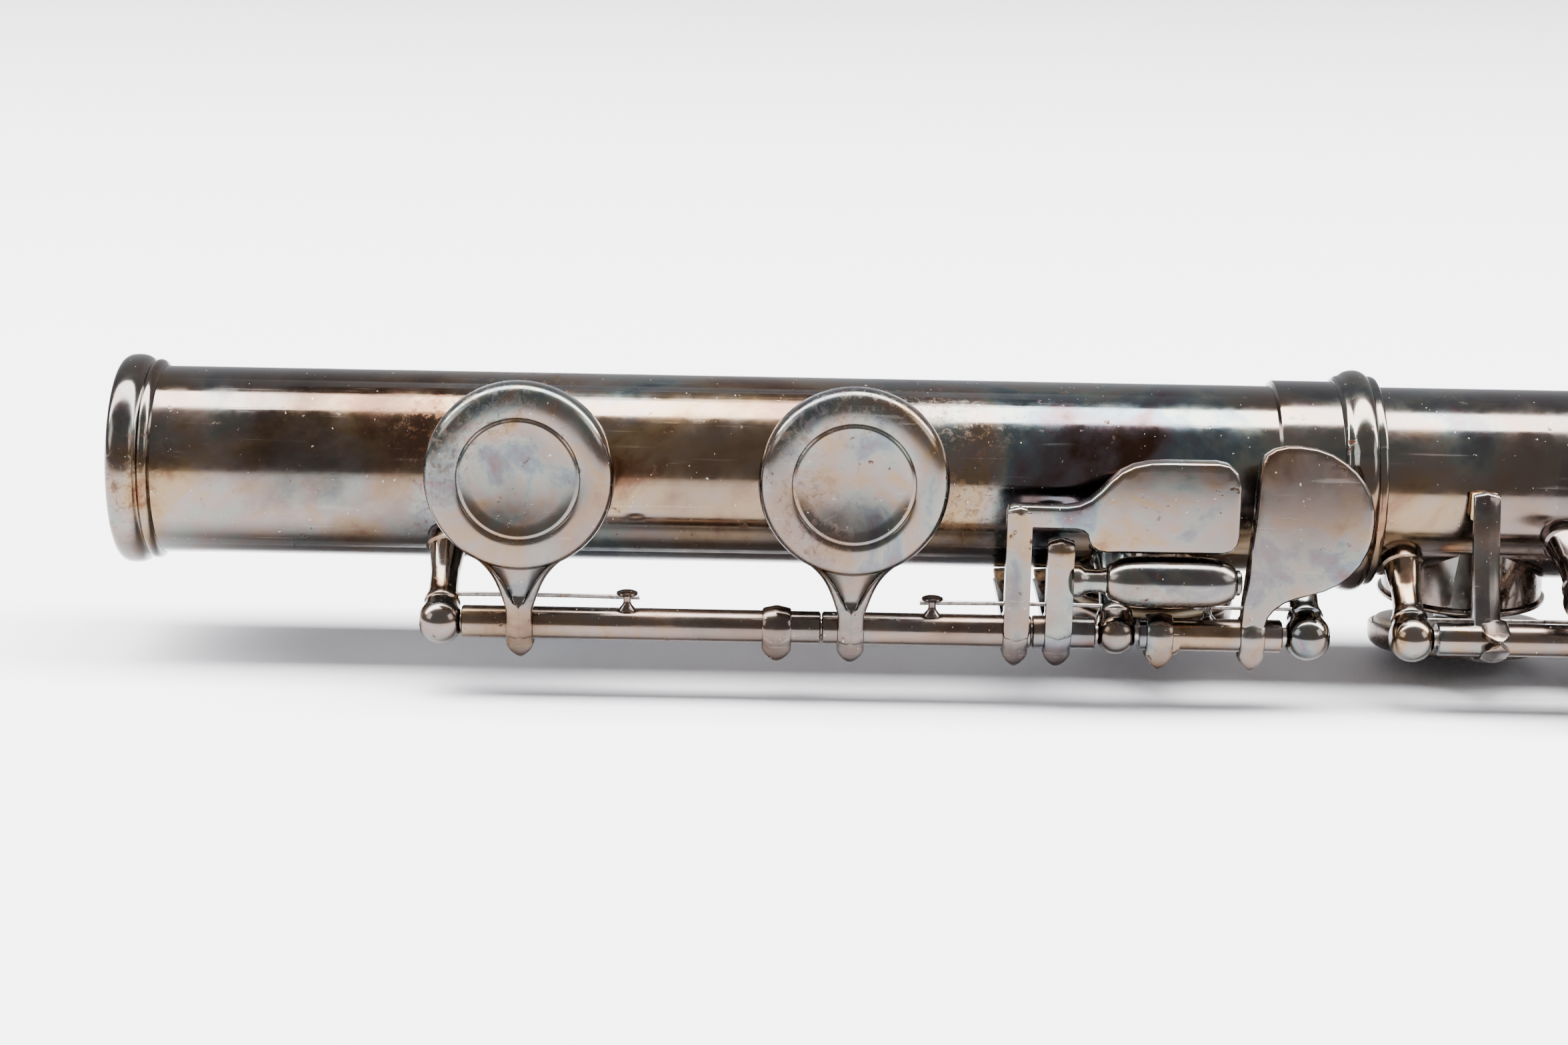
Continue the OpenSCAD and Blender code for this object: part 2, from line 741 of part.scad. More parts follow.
foot_tube();
foot_rings();
foot_posts();
foot_steel();
foot_springs();
low_c_key();
low_c_steel();
low_c_lever();
low_c_pad();
roller();
c_sharp_key();
c_sharp_plate();
c_sharp_pad();
d_sharp_key();
d_sharp_pad();
body_tube();
barrel();
body_posts();
body_steel();
body_springs();
d_key();
d_pad();
e_key();
e_pad();
f_key();
f_pad();
f_sharp_key();
f_sharp_pad();
g_key();
g_pads();
a_key();
a_pad();
b_flat_key();
b_flat_pad();
c_key();
c_pad();
g_sharp_key();
g_sharp_pad();
thumb_key();
thumb_pad();
thumb_b_flat_key();
d_trill_key();
d_trill_touch();
d_trill_pad();
d_sharp_trill_key();
d_sharp_trill_steel();
d_sharp_trill_touch();
d_sharp_trill_pad();
head_tube();
lip_plate();
stopper_cork();
stopper_screw();
crown();
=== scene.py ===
import json
import math

import bmesh
import bpy
from mathutils import Matrix, Vector

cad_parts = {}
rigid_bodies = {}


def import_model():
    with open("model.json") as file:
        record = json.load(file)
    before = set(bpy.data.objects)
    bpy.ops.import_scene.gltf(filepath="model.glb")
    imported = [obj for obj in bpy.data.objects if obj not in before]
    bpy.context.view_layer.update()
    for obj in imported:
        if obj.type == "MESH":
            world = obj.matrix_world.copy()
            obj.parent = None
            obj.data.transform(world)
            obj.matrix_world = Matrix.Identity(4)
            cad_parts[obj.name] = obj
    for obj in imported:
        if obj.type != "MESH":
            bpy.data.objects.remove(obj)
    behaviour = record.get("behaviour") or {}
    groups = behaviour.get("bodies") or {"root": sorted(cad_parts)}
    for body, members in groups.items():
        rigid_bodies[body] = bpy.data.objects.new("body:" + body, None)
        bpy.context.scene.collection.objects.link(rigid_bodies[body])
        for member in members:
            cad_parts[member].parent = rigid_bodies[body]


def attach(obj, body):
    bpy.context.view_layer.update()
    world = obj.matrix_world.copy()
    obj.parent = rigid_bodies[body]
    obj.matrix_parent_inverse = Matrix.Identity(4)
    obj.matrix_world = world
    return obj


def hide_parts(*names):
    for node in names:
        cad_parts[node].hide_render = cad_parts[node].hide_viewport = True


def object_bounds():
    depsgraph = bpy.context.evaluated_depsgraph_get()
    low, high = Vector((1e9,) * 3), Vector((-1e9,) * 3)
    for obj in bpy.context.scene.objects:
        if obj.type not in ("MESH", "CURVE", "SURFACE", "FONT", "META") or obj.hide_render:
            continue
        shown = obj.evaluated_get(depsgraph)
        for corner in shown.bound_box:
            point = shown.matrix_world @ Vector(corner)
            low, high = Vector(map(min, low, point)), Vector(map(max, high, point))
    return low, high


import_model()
cad_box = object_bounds()

# The silver plate. Every turned and soldered piece of the flute wears the same
# plate: old silver gone brown, with blue and gold bloom, pits and hairlines.


def new_group(name, inputs, outputs):
    group = bpy.data.node_groups.new(name, "ShaderNodeTree")
    for title, kind, value in inputs:
        socket = group.interface.new_socket(title, in_out="INPUT", socket_type=kind)
        if value is not None:
            socket.default_value = value
    for title, kind in outputs:
        group.interface.new_socket(title, in_out="OUTPUT", socket_type=kind)
    return group, group.nodes.new("NodeGroupInput"), group.nodes.new("NodeGroupOutput")


def noise(tree, where, scale, detail=5.0, rough=0.6, swirl=0.0):
    node = tree.nodes.new("ShaderNodeTexNoise")
    node.inputs["Scale"].default_value = scale
    node.inputs["Detail"].default_value = detail
    node.inputs["Roughness"].default_value = rough
    node.inputs["Distortion"].default_value = swirl
    tree.links.new(where, node.inputs["Vector"])
    return node


def ramp(tree, value, stops, smooth="LINEAR"):
    node = tree.nodes.new("ShaderNodeValToRGB")
    node.color_ramp.interpolation = smooth
    band = node.color_ramp.elements
    while len(band) < len(stops):
        band.new(0.5)
    for element, (place, colour) in zip(band, stops):
        element.position = place
        element.color = (*colour, 1.0) if len(colour) == 3 else colour
    tree.links.new(value, node.inputs["Fac"])
    return node


def grey(level):
    return (level, level, level)


def blend_colours(tree, fac, a, b, how="MIX"):
    node = tree.nodes.new("ShaderNodeMix")
    node.data_type = "RGBA"
    node.blend_type = how
    for socket, value in ((node.inputs[0], fac), (node.inputs[6], a), (node.inputs[7], b)):
        if isinstance(value, (float, tuple)):
            socket.default_value = value if isinstance(value, float) else (*value, 1.0)
        else:
            tree.links.new(value, socket)
    return node.outputs[2]


def sums(tree, how, a, b, clamp=False):
    node = tree.nodes.new("ShaderNodeMath")
    node.operation = how
    node.use_clamp = clamp
    for socket, value in zip(node.inputs, (a, b)):
        if isinstance(value, (float, int)):
            socket.default_value = value
        else:
            tree.links.new(value, socket)
    return node.outputs[0]


# tarnish bloom: patches of brown, gold, blue and rose that drift over the plate
bloom, g_in, g_out = new_group(
    "tarnish bloom",
    [("Place", "NodeSocketVector", None), ("Size", "NodeSocketFloat", 70.0), ("Depth", "NodeSocketFloat", 0.6)],
    [("Color", "NodeSocketColor"), ("Bloom", "NodeSocketFloat")],
)
patch = noise(bloom, g_in.outputs["Place"], 70.0, 7.0, 0.62, 0.5)
bloom.links.new(g_in.outputs["Size"], patch.inputs["Scale"])
hue = ramp(
    bloom,
    patch.outputs["Fac"],
    [
        (0.30, (0.036, 0.018, 0.011)),
        (0.37, (0.078, 0.060, 0.069)),
        (0.43, (0.072, 0.096, 0.110)),
        (0.48, (0.130, 0.145, 0.128)),
        (0.53, (0.155, 0.125, 0.112)),
        (0.60, (0.170, 0.118, 0.064)),
        (0.66, (0.110, 0.052, 0.027)),
        (0.74, (0.045, 0.022, 0.015)),
    ],
)
spread = noise(bloom, g_in.outputs["Place"], 31.0, 4.0, 0.5, 0.2)
mask = ramp(bloom, spread.outputs["Fac"], [(0.38, grey(0.15)), (0.62, grey(1.0))])
bloom.links.new(hue.outputs["Color"], g_out.inputs["Color"])
bloom.links.new(sums(bloom, "MULTIPLY", mask.outputs["Color"], g_in.outputs["Depth"]), g_out.inputs["Bloom"])

# pits and rust specks, each about a millimetre or less
pits, g_in, g_out = new_group(
    "pits and specks",
    [("Place", "NodeSocketVector", None), ("Size", "NodeSocketFloat", 900.0)],
    [("Speck", "NodeSocketFloat"), ("Height", "NodeSocketFloat")],
)
dots = noise(pits, g_in.outputs["Place"], 900.0, 3.0, 0.55, 0.0)
pits.links.new(g_in.outputs["Size"], dots.inputs["Scale"])
where_dots = noise(pits, g_in.outputs["Place"], 120.0, 3.0, 0.5, 0.0)
dot_mask = ramp(pits, dots.outputs["Fac"], [(0.66, grey(0.0)), (0.74, grey(1.0))])
zone = ramp(pits, where_dots.outputs["Fac"], [(0.42, grey(0.0)), (0.60, grey(1.0))])
speck = sums(pits, "MULTIPLY", dot_mask.outputs["Color"], zone.outputs["Color"])
pits.links.new(speck, g_out.inputs["Speck"])
pits.links.new(sums(pits, "SUBTRACT", 1.0, speck), g_out.inputs["Height"])

# hairlines from cleaning cloths and cases, crossing at two slants
hairs, g_in, g_out = new_group(
    "hairlines",
    [("Place", "NodeSocketVector", None), ("Fineness", "NodeSocketFloat", 1.0)],
    [("Line", "NodeSocketFloat")],
)
lines = []
for turn, stretch in (((0.3, 0.2, 0.6), (60.0, 2600.0, 900.0)), ((0.5, 0.9, -0.8), (90.0, 1500.0, 2300.0))):
    mapping = hairs.nodes.new("ShaderNodeMapping")
    mapping.inputs["Rotation"].default_value = turn
    mapping.inputs["Scale"].default_value = stretch
    hairs.links.new(g_in.outputs["Place"], mapping.inputs["Vector"])
    streak = noise(hairs, mapping.outputs["Vector"], 1.0, 2.0, 0.5, 0.0)
    hairs.links.new(g_in.outputs["Fineness"], streak.inputs["Scale"])
    lines.append(ramp(hairs, streak.outputs["Fac"], [(0.68, grey(0.0)), (0.76, grey(1.0))]).outputs["Color"])
hairs.links.new(sums(hairs, "MAXIMUM", lines[0], lines[1]), g_out.inputs["Line"])


def new_finish(name):
    """A material with its tree, its shader and the object's own coordinates."""
    finish = bpy.data.materials.new(name)
    finish.use_nodes = True
    tree = finish.node_tree
    return finish, tree, tree.nodes["Principled BSDF"], tree.nodes.new("ShaderNodeTexCoord").outputs["Object"]


def bumped(tree, shader, height, strength, distance):
    bump = tree.nodes.new("ShaderNodeBump")
    bump.inputs["Strength"].default_value = strength
    bump.inputs["Distance"].default_value = distance
    tree.links.new(height, bump.inputs["Height"])
    tree.links.new(bump.outputs["Normal"], shader.inputs["Normal"])


def old_silver(name, plate, shadow, bloom_size, bloom_depth, rough, speck_size, rusting):
    """Tarnished silver plate: plate is its clean-looking colour, shadow the colour of its blackest tarnish."""
    finish, tree, shader, place = new_finish(name)
    shader.inputs["Metallic"].default_value = 1.0
    stain = tree.nodes.new("ShaderNodeGroup")
    stain.node_tree = bloom
    stain.inputs["Size"].default_value = bloom_size
    stain.inputs["Depth"].default_value = bloom_depth
    specks = tree.nodes.new("ShaderNodeGroup")
    specks.node_tree = pits
    specks.inputs["Size"].default_value = speck_size
    scratches = tree.nodes.new("ShaderNodeGroup")
    scratches.node_tree = hairs
    scratches.inputs["Fineness"].default_value = 1.0
    for node in (stain, specks, scratches):
        tree.links.new(place, node.inputs["Place"])
    cloud = noise(tree, place, 24.0, 6.0, 0.62, 0.8)
    dark = ramp(tree, cloud.outputs["Fac"], [(0.36, grey(0.75)), (0.52, grey(0.0))])
    colour = blend_colours(tree, stain.outputs["Bloom"], plate, stain.outputs["Color"])
    colour = blend_colours(tree, dark.outputs["Color"], colour, shadow)
    colour = blend_colours(tree, specks.outputs["Speck"], colour, (0.036, 0.017, 0.010))
    rust_zone = noise(tree, place, 38.0, 2.0, 0.4, 0.0)
    rust_edge = noise(tree, place, 1100.0, 6.0, 0.75, 0.6)
    rust_patch = ramp(tree, rust_zone.outputs["Fac"], [(0.62, grey(0)), (0.70, grey(1))]).outputs["Color"]
    rust_grain = ramp(tree, rust_edge.outputs["Fac"], [(0.50, grey(0)), (0.63, grey(1))]).outputs["Color"]
    rust = sums(tree, "MULTIPLY", rust_patch, rust_grain)
    colour = blend_colours(tree, sums(tree, "MULTIPLY", rust, rusting), colour, (0.060, 0.024, 0.011))
    dust_spots = noise(tree, place, 2600.0, 1.0, 0.5, 0.0)
    dust = ramp(tree, dust_spots.outputs["Fac"], [(0.76, grey(0)), (0.80, grey(1))]).outputs["Color"]
    colour = blend_colours(tree, sums(tree, "MULTIPLY", dust, 0.7), colour, (0.45, 0.42, 0.39))
    colour = blend_colours(tree, sums(tree, "MULTIPLY", scratches.outputs["Line"], 0.12), colour, (0.40, 0.37, 0.34))
    tree.links.new(colour, shader.inputs["Base Color"])
    haze = noise(tree, place, 160.0, 5.0, 0.65, 0.3)
    gloss = ramp(tree, haze.outputs["Fac"], [(0.30, grey(rough[0])), (0.70, grey(rough[1]))])
    worn = sums(tree, "ADD", gloss.outputs["Color"], sums(tree, "MULTIPLY", scratches.outputs["Line"], 0.12), True)
    worn = sums(tree, "ADD", worn, sums(tree, "MULTIPLY", specks.outputs["Speck"], 0.35), True)
    worn = sums(tree, "ADD", worn, sums(tree, "MULTIPLY", sums(tree, "ADD", rust, dust), 0.3), True)
    tree.links.new(worn, shader.inputs["Roughness"])
    ripple = noise(tree, place, 420.0, 4.0, 0.6, 0.0)
    height = sums(tree, "ADD", sums(tree, "MULTIPLY", ripple.outputs["Fac"], 0.35), specks.outputs["Height"])
    height = sums(tree, "SUBTRACT", height, sums(tree, "MULTIPLY", scratches.outputs["Line"], 0.08))
    bumped(tree, shader, height, 0.16, 0.00008)
    return finish


tube_silver = old_silver("tube_silver", plate=(0.094, 0.070, 0.061), shadow=(0.032, 0.019, 0.014), bloom_size=48.0,
                         bloom_depth=0.95, rough=(0.06, 0.24), speck_size=700.0, rusting=0.8)
key_silver = old_silver("key_silver", plate=(0.106, 0.076, 0.064), shadow=(0.070, 0.046, 0.036), bloom_size=110.0,
                        bloom_depth=0.8, rough=(0.12, 0.28), speck_size=1100.0, rusting=0.5)
rod_silver = old_silver("rod_silver", plate=(0.120, 0.094, 0.085), shadow=(0.032, 0.020, 0.016), bloom_size=140.0,
                        bloom_depth=0.85, rough=(0.08, 0.22), speck_size=1200.0, rusting=0.5)

# Foot tube: drawn silver tube with three soldered chimneys, and at its upper
# end a thicker sleeve that takes the body's tenon. Sizes here are millimetres.
MILLIMETRES = Matrix.Scale(0.001, 4)
LAID_ALONG = Matrix.Rotation(math.radians(90), 4, "Y")
FOOT_TURN = 78
BODY_TURN = 180
FOOT_KEYS = Matrix.Rotation(math.radians(FOOT_TURN), 4, "X")
BODY_KEYS = Matrix.Rotation(math.radians(BODY_TURN), 4, "X")
FOOT_HOLES = ((43.3, 8.1), (77.1, 8.1))
D_SHARP_HOLE = (109.4, 7.6)
SEAT = 12.4


def turned(outline, steps=72, ring=False):
    """Spins an outline of (radius, height) pairs; a ring's outline closes on itself."""
    bm = bmesh.new()
    rim = [bm.verts.new((radius, 0, height)) for radius, height in outline]
    edges = [bm.edges.new(pair) for pair in zip(rim, rim[1:])]
    if ring:
        edges.append(bm.edges.new((rim[-1], rim[0])))
    bmesh.ops.spin(bm, geom=rim + edges, axis=(0, 0, 1), cent=(0, 0, 0), angle=math.tau, steps=steps, use_merge=True)
    bmesh.ops.remove_doubles(bm, verts=bm.verts, dist=1e-4)
    bmesh.ops.recalc_face_normals(bm, faces=bm.faces)
    return bm


def fitted(whole, part, place=Matrix()):
    """Adds one shape to a piece at its place."""
    part.transform(place)
    loose = bpy.data.meshes.new("loose")
    part.to_mesh(loose)
    part.free()
    whole.from_mesh(loose)
    bpy.data.meshes.remove(loose)
    return whole


def together(parts, place=Matrix()):
    """One piece made of several shapes, all moved to the same place."""
    whole = bmesh.new()
    for part in parts:
        fitted(whole, part, place)
    return whole


def finished(bm, name, body, finish, place=Matrix(), stands_for=(), sharp=38):
    """Turns millimetres into metres, shades the mesh and hangs it on its body."""
    bm.transform(MILLIMETRES @ place)
    mesh = bpy.data.meshes.new(name)
    bm.to_mesh(mesh)
    bm.free()
    mesh.shade_smooth()
    mesh.set_sharp_from_angle(angle=math.radians(sharp))
    mesh.materials.append(finish)
    piece = bpy.data.objects.new(name, mesh)
    bpy.context.collection.objects.link(piece)
    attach(piece, body)
    if stands_for:
        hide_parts(*stands_for)
    return piece


def softened(piece, width=0.12, segments=2):
    """Rounds a piece's hard edges a little, as polishing does."""
    edge = piece.modifiers.new("polished edges", "BEVEL")
    edge.width = width / 1000
    edge.segments = segments
    edge.limit_method = "ANGLE"
    edge.angle_limit = math.radians(38)
    edge.harden_normals = True
    return piece


def at(x=0.0, y=0.0, z=0.0):
    return Matrix.Translation((x, y, z))


def rod(x0, x1, radius, bore=0.0, steps=48):
    """A round bar or tube lying along the flute, on the axis."""
    if bore:
        outline, ring = [(bore, x0), (radius, x0), (radius, x1), (bore, x1)], True
    else:
        outline, ring = [(0, x0), (radius, x0), (radius, x1), (0, x1)], False
    bm = turned(outline, steps, ring)
    bm.transform(LAID_ALONG)
    return bm


def chimney(hole):
    """Tone-hole chimney: a drawn wall with a rolled rim, filled until it is bored."""
    wall = hole[1] + 0.5
    outline = [(0, 4.2), (wall, 4.2), (wall, SEAT - 0.8)]
    outline += [(wall + 0.45 * math.sin(t), SEAT - 0.4 - 0.4 * math.cos(t)) for t in (0.8, 1.3, 1.8, 2.3, 2.8)]
    outline += [(wall - 0.2, SEAT), (0, SEAT)]
    bm = turned(outline, 72)
    bm.transform(at(hole[0]))
    return bm


def bored(piece, added, removed):
    """Joins the added shapes to a piece, cuts the removed ones out of it, and keeps the result."""
    for shapes, how in ((added, "UNION"), (removed, "DIFFERENCE")):
        tools = bpy.data.collections.new("tools")
        bpy.context.collection.children.link(tools)
        for shape in shapes:
            shape.transform(MILLIMETRES)
            mesh = bpy.data.meshes.new("tool")
            shape.to_mesh(mesh)
            shape.free()
            tools.objects.link(bpy.data.objects.new("tool", mesh))
        cut = piece.modifiers.new("cut", "BOOLEAN")
        cut.operation = how
        cut.solver = "EXACT"
        cut.operand_type = "COLLECTION"
        cut.collection = tools
        if shapes:
            result = bpy.data.meshes.new_from_object(piece.evaluated_get(bpy.context.evaluated_depsgraph_get()))
            old, piece.data = piece.data, result
            bpy.data.meshes.remove(old)
        piece.modifiers.clear()
        for tool in list(tools.objects):
            bpy.data.meshes.remove(tool.data)
        bpy.data.collections.remove(tools)
    piece.data.shade_smooth()
    piece.data.set_sharp_from_angle(angle=math.radians(38))
    return piece


def turned_part(bm, angle):
    bm.transform(Matrix.Rotation(math.radians(angle), 4, "X"))
    return bm


def hole_tool(hole, angle):
    bm = turned([(0, 4.0), (hole[1], 4.0), (hole[1], 15.0), (0, 15.0)], 72)
    bm.transform(at(hole[0]))
    return turned_part(bm, angle)


outside = turned(
    [(0, 0.02), (9.9, 0.02), (9.9, 121.2), (10.45, 121.45), (10.5, 121.6), (10.5, 132.18), (0, 132.18)], 128
)
outside.transform(LAID_ALONG)
foot_tube = finished(outside, "foot_joint_tube", "foot", tube_silver, stands_for=("foot_tube",))
bored(
    foot_tube,
    [turned_part(chimney(hole), FOOT_TURN) for hole in FOOT_HOLES]
    + [turned_part(chimney(D_SHARP_HOLE), BODY_TURN)],
    [rod(-1, 121.5, 9.5, steps=128), rod(121.4, 134, 10.06, steps=128)]
    + [hole_tool(hole, FOOT_TURN) for hole in FOOT_HOLES]
    + [hole_tool(D_SHARP_HOLE, BODY_TURN)],
)

# Foot rings: turned beads soldered over the open end and over the socket, so
# that neither dents when the joint is pushed on.
end_bead = [(9.92, 0.12), (10.3, 0.02), (10.6, 0.12), (10.88, 0.42), (11.05, 0.85), (11.1, 1.4), (11.06, 2.0),
            (10.9, 2.5), (10.6, 2.9), (10.34, 3.05), (10.3, 3.15), (10.42, 3.3), (10.56, 3.55), (10.58, 3.8),
            (10.46, 4.1), (10.25, 4.3), (10.05, 4.42), (9.92, 4.5)]
socket_bead = [(10.52, 127.8), (10.66, 127.84), (10.8, 128.0), (11.0, 128.1), (11.1, 128.3), (11.14, 128.55),
               (11.3, 128.75), (11.55, 129.1), (11.7, 129.6), (11.76, 130.05), (11.7, 130.55), (11.5, 131.0),
               (11.2, 131.25), (11.02, 131.35), (11.02, 131.45), (11.1, 131.6), (11.12, 131.85), (11.06, 132.1),
               (10.9, 132.2), (10.52, 132.2)]
beads = together([turned(outline, 128, ring=True) for outline in (end_bead, socket_bead)])
finished(beads, "foot_joint_rings", "foot", tube_silver, LAID_ALONG, ("foot_rings",), sharp=50)

# Posts: turned silver pillars with a foot flange, a slim waist and a ball, each
# soldered square to the tube and drilled for its steel. The ball's faces are
# filed flat where a hinge tube runs against them.
ROD_Y, ROD_Z = 15.6, 12.6
ROD_R = math.hypot(ROD_Y, ROD_Z)
TRILL_R = 20.7


def post(x, angle, tube, radius=ROD_R, ball=2.2, face=1.95):
    neck = radius - ball
    low = math.sqrt(tube * tube - 2.3 * 2.3) - 0.05
    waist = tube + 0.52 * (neck - tube)
    outline = [(0, low), (2.1, low), (2.14, tube + 0.1), (2.14, tube + 0.75), (2.24, tube + 0.86), (2.24, tube + 1.0),
               (2.1, tube + 1.1), (1.92, tube + 1.18), (1.82, tube + 1.45), (1.6, waist - 0.6), (1.5, waist),
               (1.47, waist + 0.4), (1.52, neck - 1.2), (1.66, neck - 0.6), (1.84, neck - 0.18), (1.86, neck + 0.05),
               (1.72, neck + 0.22)]
    start = math.acos(min(1.0, 1.72 / ball))
    outline += [(ball * math.cos(t), radius + ball * math.sin(t))
                for t in [-start + i * (math.pi / 2 + start) / 14 for i in range(1, 14)]]
    outline.append((0, radius + ball))
    bm = turned(outline, 56)
    for vert in bm.verts:
        if vert.co.z > neck:
            vert.co.x = max(-face, min(face, vert.co.x))
    bm.transform(at(x))
    bm.transform(Matrix.Rotation(math.radians(angle - 90), 4, "X"))
    return bm


foot_pillars = together([
    post(x, 219, tube, ball=ball, face=face)
    for x, tube, ball, face in ((35.1, 9.9, 2.35, 2.07), (104.3, 9.9, 2.15, 1.9), (123.9, 10.5, 2.45, 2.22))
])
finished(foot_pillars, "foot_joint_posts", "foot", rod_silver, stands_for=("foot_posts",), sharp=42)

# Steels and needle springs: ground steel rods that the hinge tubes turn on, and
# blued wires pressed through the posts whose free ends push on the catches.
spring_steel, steel_tree, steel_shader, steel_place = new_finish("spring_steel")
steel_shader.inputs["Metallic"].default_value = 1.0
steel_mottle = noise(steel_tree, steel_place, 900.0, 4.0, 0.6, 0.2)
steel_colour = ramp(steel_tree, steel_mottle.outputs["Fac"],
                    [(0.35, (0.20, 0.17, 0.16)), (0.5, (0.34, 0.32, 0.31)), (0.66, (0.17, 0.11, 0.08))])
steel_rough = ramp(steel_tree, steel_mottle.outputs["Fac"], [(0.3, grey(0.22)), (0.7, grey(0.5))])
steel_tree.links.new(steel_colour.outputs["Color"], steel_shader.inputs["Base Color"])
steel_tree.links.new(steel_rough.outputs["Color"], steel_shader.inputs["Roughness"])


def steel(x0, x1, angle, radius=ROD_R, thick=0.9):
    bm = rod(x0, x1, thick, steps=32)
    bm.transform(at(0, 0, radius))
    bm.transform(Matrix.Rotation(math.radians(angle - 90), 4, "X"))
    return bm


def needle(x0, x1, side, bend=0.35):
    """Spring wire from its post to its catch, bowed a little by the load."""
    bm = rod(x0, x1, 0.22, steps=16)
    bmesh.ops.subdivide_edges(bm, edges=[e for e in bm.edges if e.calc_length() > 5], cuts=8)
    for vert in bm.verts:
        along = (vert.co.x - x0) / (x1 - x0)
        vert.co.y += -side * bend * (along - along * along)
    bm.transform(at(0, side * (ROD_Y - 2.65), ROD_Z - 1.2))
    return bm


finished(steel(104.4, 124.4, 219), "foot_joint_steel", "foot", spring_steel, stands_for=("foot_steel",))
wires = together([needle(x0, x1, -1) for x0, x1 in ((34.2, 55.4), (84.2, 105.2), (112.4, 124.8))])
finished(wires, "foot_joint_springs", "foot", spring_steel, FOOT_KEYS, ("foot_springs",))

# Key work. A key is a cup with a sunk ring on its face, a flared arm with a
# hollowed panel, a pointed saddle round a hinge tube, a catch for the spring and
# a tail that stops on the tube. It is built closed and swung open on its rod.
OPEN = 9.0


def cup(x, r):
    """Key cup with its rolled edge, its engraved ring, and the pad screw and washer inside."""
    inner = r - 0.5
    ring = 0.645 * r
    dish = [(ring * i / 8, 15.62 + 0.42 * (i / 7) ** 2) for i in range(7)]
    outline = dish + [(ring - 0.62, 16.04), (ring - 0.5, 16.11), (ring - 0.36, 16.13), (ring - 0.22, 16.08),
               (ring - 0.09, 15.97), (ring, 15.9), (ring + 0.09, 15.97), (ring + 0.22, 16.03), (ring + 0.7, 16.06),
               (r - 2.1, 16.03), (r - 1.5, 15.95), (r - 1.0, 15.82), (r - 0.62, 15.62), (r - 0.3, 15.32),
               (r - 0.1, 14.95),
               (r, 14.5), (r, 13.3), (r - 0.08, 13.14), (r - 0.25, 13.08), (r - 0.42, 13.14), (inner, 13.3),
               (inner, 15.35), (1.1, 15.35), (1.1, 12.45), (2.55, 12.45), (2.7, 12.36), (2.66, 12.24), (1.5, 12.15),
               (1.46, 11.95), (1.3, 11.82), (0.9, 11.74), (0, 11.7)]
    bm = turned(outline, 96)
    bm.transform(at(x))
    return bm


def flared_arm(x, r, side, w=2.75, reach=ROD_Y):
    """Arm from the cup's rim over the hinge tube: two borders round a sunk panel, meeting in a crest."""
    flare = min(5.0, 0.53 * r)
    rim = math.sqrt(r * r - flare * flare) - 0.14
    neck = reach - 1.9
    rows = [rim - 1.2, rim - 0.6] + [rim + (neck - rim) * i / 24 for i in range(25)]
    rows += [neck + 0.25 * i for i in range(1, 15)]
    bm = bmesh.new()
    rings = []
    for y in rows:
        u = min(1.0, max(0.0, (y - rim) / (neck - rim)))
        half = w / 2 + (flare - w / 2) * (0.48 * (1 - u) ** 4 + 0.52 * (1 - u))
        hollow = max(0.03, half - 0.62 - 0.5 * u - 6.0 * max(0.0, u - 0.88))
        sunk = 0.62 * min(1.0, hollow / 0.8)
        lower = 0.42 * min(1.0, max(0.0, (y - reach + 3.2) / 3.2)) ** 2
        past = min(1.6, max(0.0, y - reach))
        top = 15.34 - lower - (2.32 - math.sqrt(2.32 ** 2 - past ** 2)) - 0.8 * max(0.0, y - reach - 1.2)
        crest = half - hollow
        across = [(half - 0.25, 13.5 - 15.34), (half, 13.8 - 15.34), (half, -0.8), (half - 0.06, -0.52),
                  (half - 0.2, -0.32), (half - 0.5 * crest, -0.12), (hollow + 0.25 * crest, 0.0),
                  (hollow + 0.08, -0.03), (hollow, -0.12 * sunk), (0.93 * hollow, -0.72 * sunk),
                  (0.8 * hollow, -0.9 * sunk), (0.4 * hollow, -0.97 * sunk), (0.0, -sunk)]
        across += [(-px, pz) for px, pz in reversed(across[:-1])]
        rings.append([bm.verts.new((px, y, top + pz)) for px, pz in across])
    for near, far in zip(rings, rings[1:]):
        for i in range(len(near)):
            bm.faces.new((near[i - 1], near[i], far[i], far[i - 1]))
    bm.faces.new(rings[0])
    bm.faces.new(rings[-1])
    bmesh.ops.recalc_face_normals(bm, faces=bm.faces)
    for vert in bm.verts:
        vert.co.y *= side
    bmesh.ops.recalc_face_normals(bm, faces=bm.faces)
    bm.transform(at(x))
    return bm


def saddle(x, side, w=2.75, hub=2.28, tip=3.65):
    """Collar round the hinge tube with a crest along it, drawn out to a point on the side away from the cup."""
    half = w / 2
    across = [(-1.0, 0.74), (-0.98, 0.83), (-0.9, 0.88), (-0.6, 0.925), (-0.3, 0.965), (-0.1, 0.995), (0.1, 0.995),
              (0.3, 0.965), (0.6, 0.925), (0.9, 0.88), (0.98, 0.83), (1.0, 0.74)]
    bm = turned([(0, -half)] + [(hub * rise, half * t) for t, rise in across] + [(0, half)], 72)
    bm.transform(LAID_ALONG)
    for vert in bm.verts:
        radius = math.hypot(vert.co.y, vert.co.z)
        if radius > 0.01:
            outward = max(0.0, vert.co.y / radius)
            even = 1 + (hub / radius - 1) * outward ** 8
            vert.co.y *= even * (1 + (tip / hub - 1) * outward ** 6)
            vert.co.z *= even
            past = max(0.0, vert.co.y - 2.0) / (tip - 2.0)
            vert.co.x *= 1 - 0.985 * min(1.0, past) ** 1.8
        vert.co.y *= side
    bmesh.ops.recalc_face_normals(bm, faces=bm.faces)
    bm.transform(at(x, side * ROD_Y, ROD_Z))
    return bm


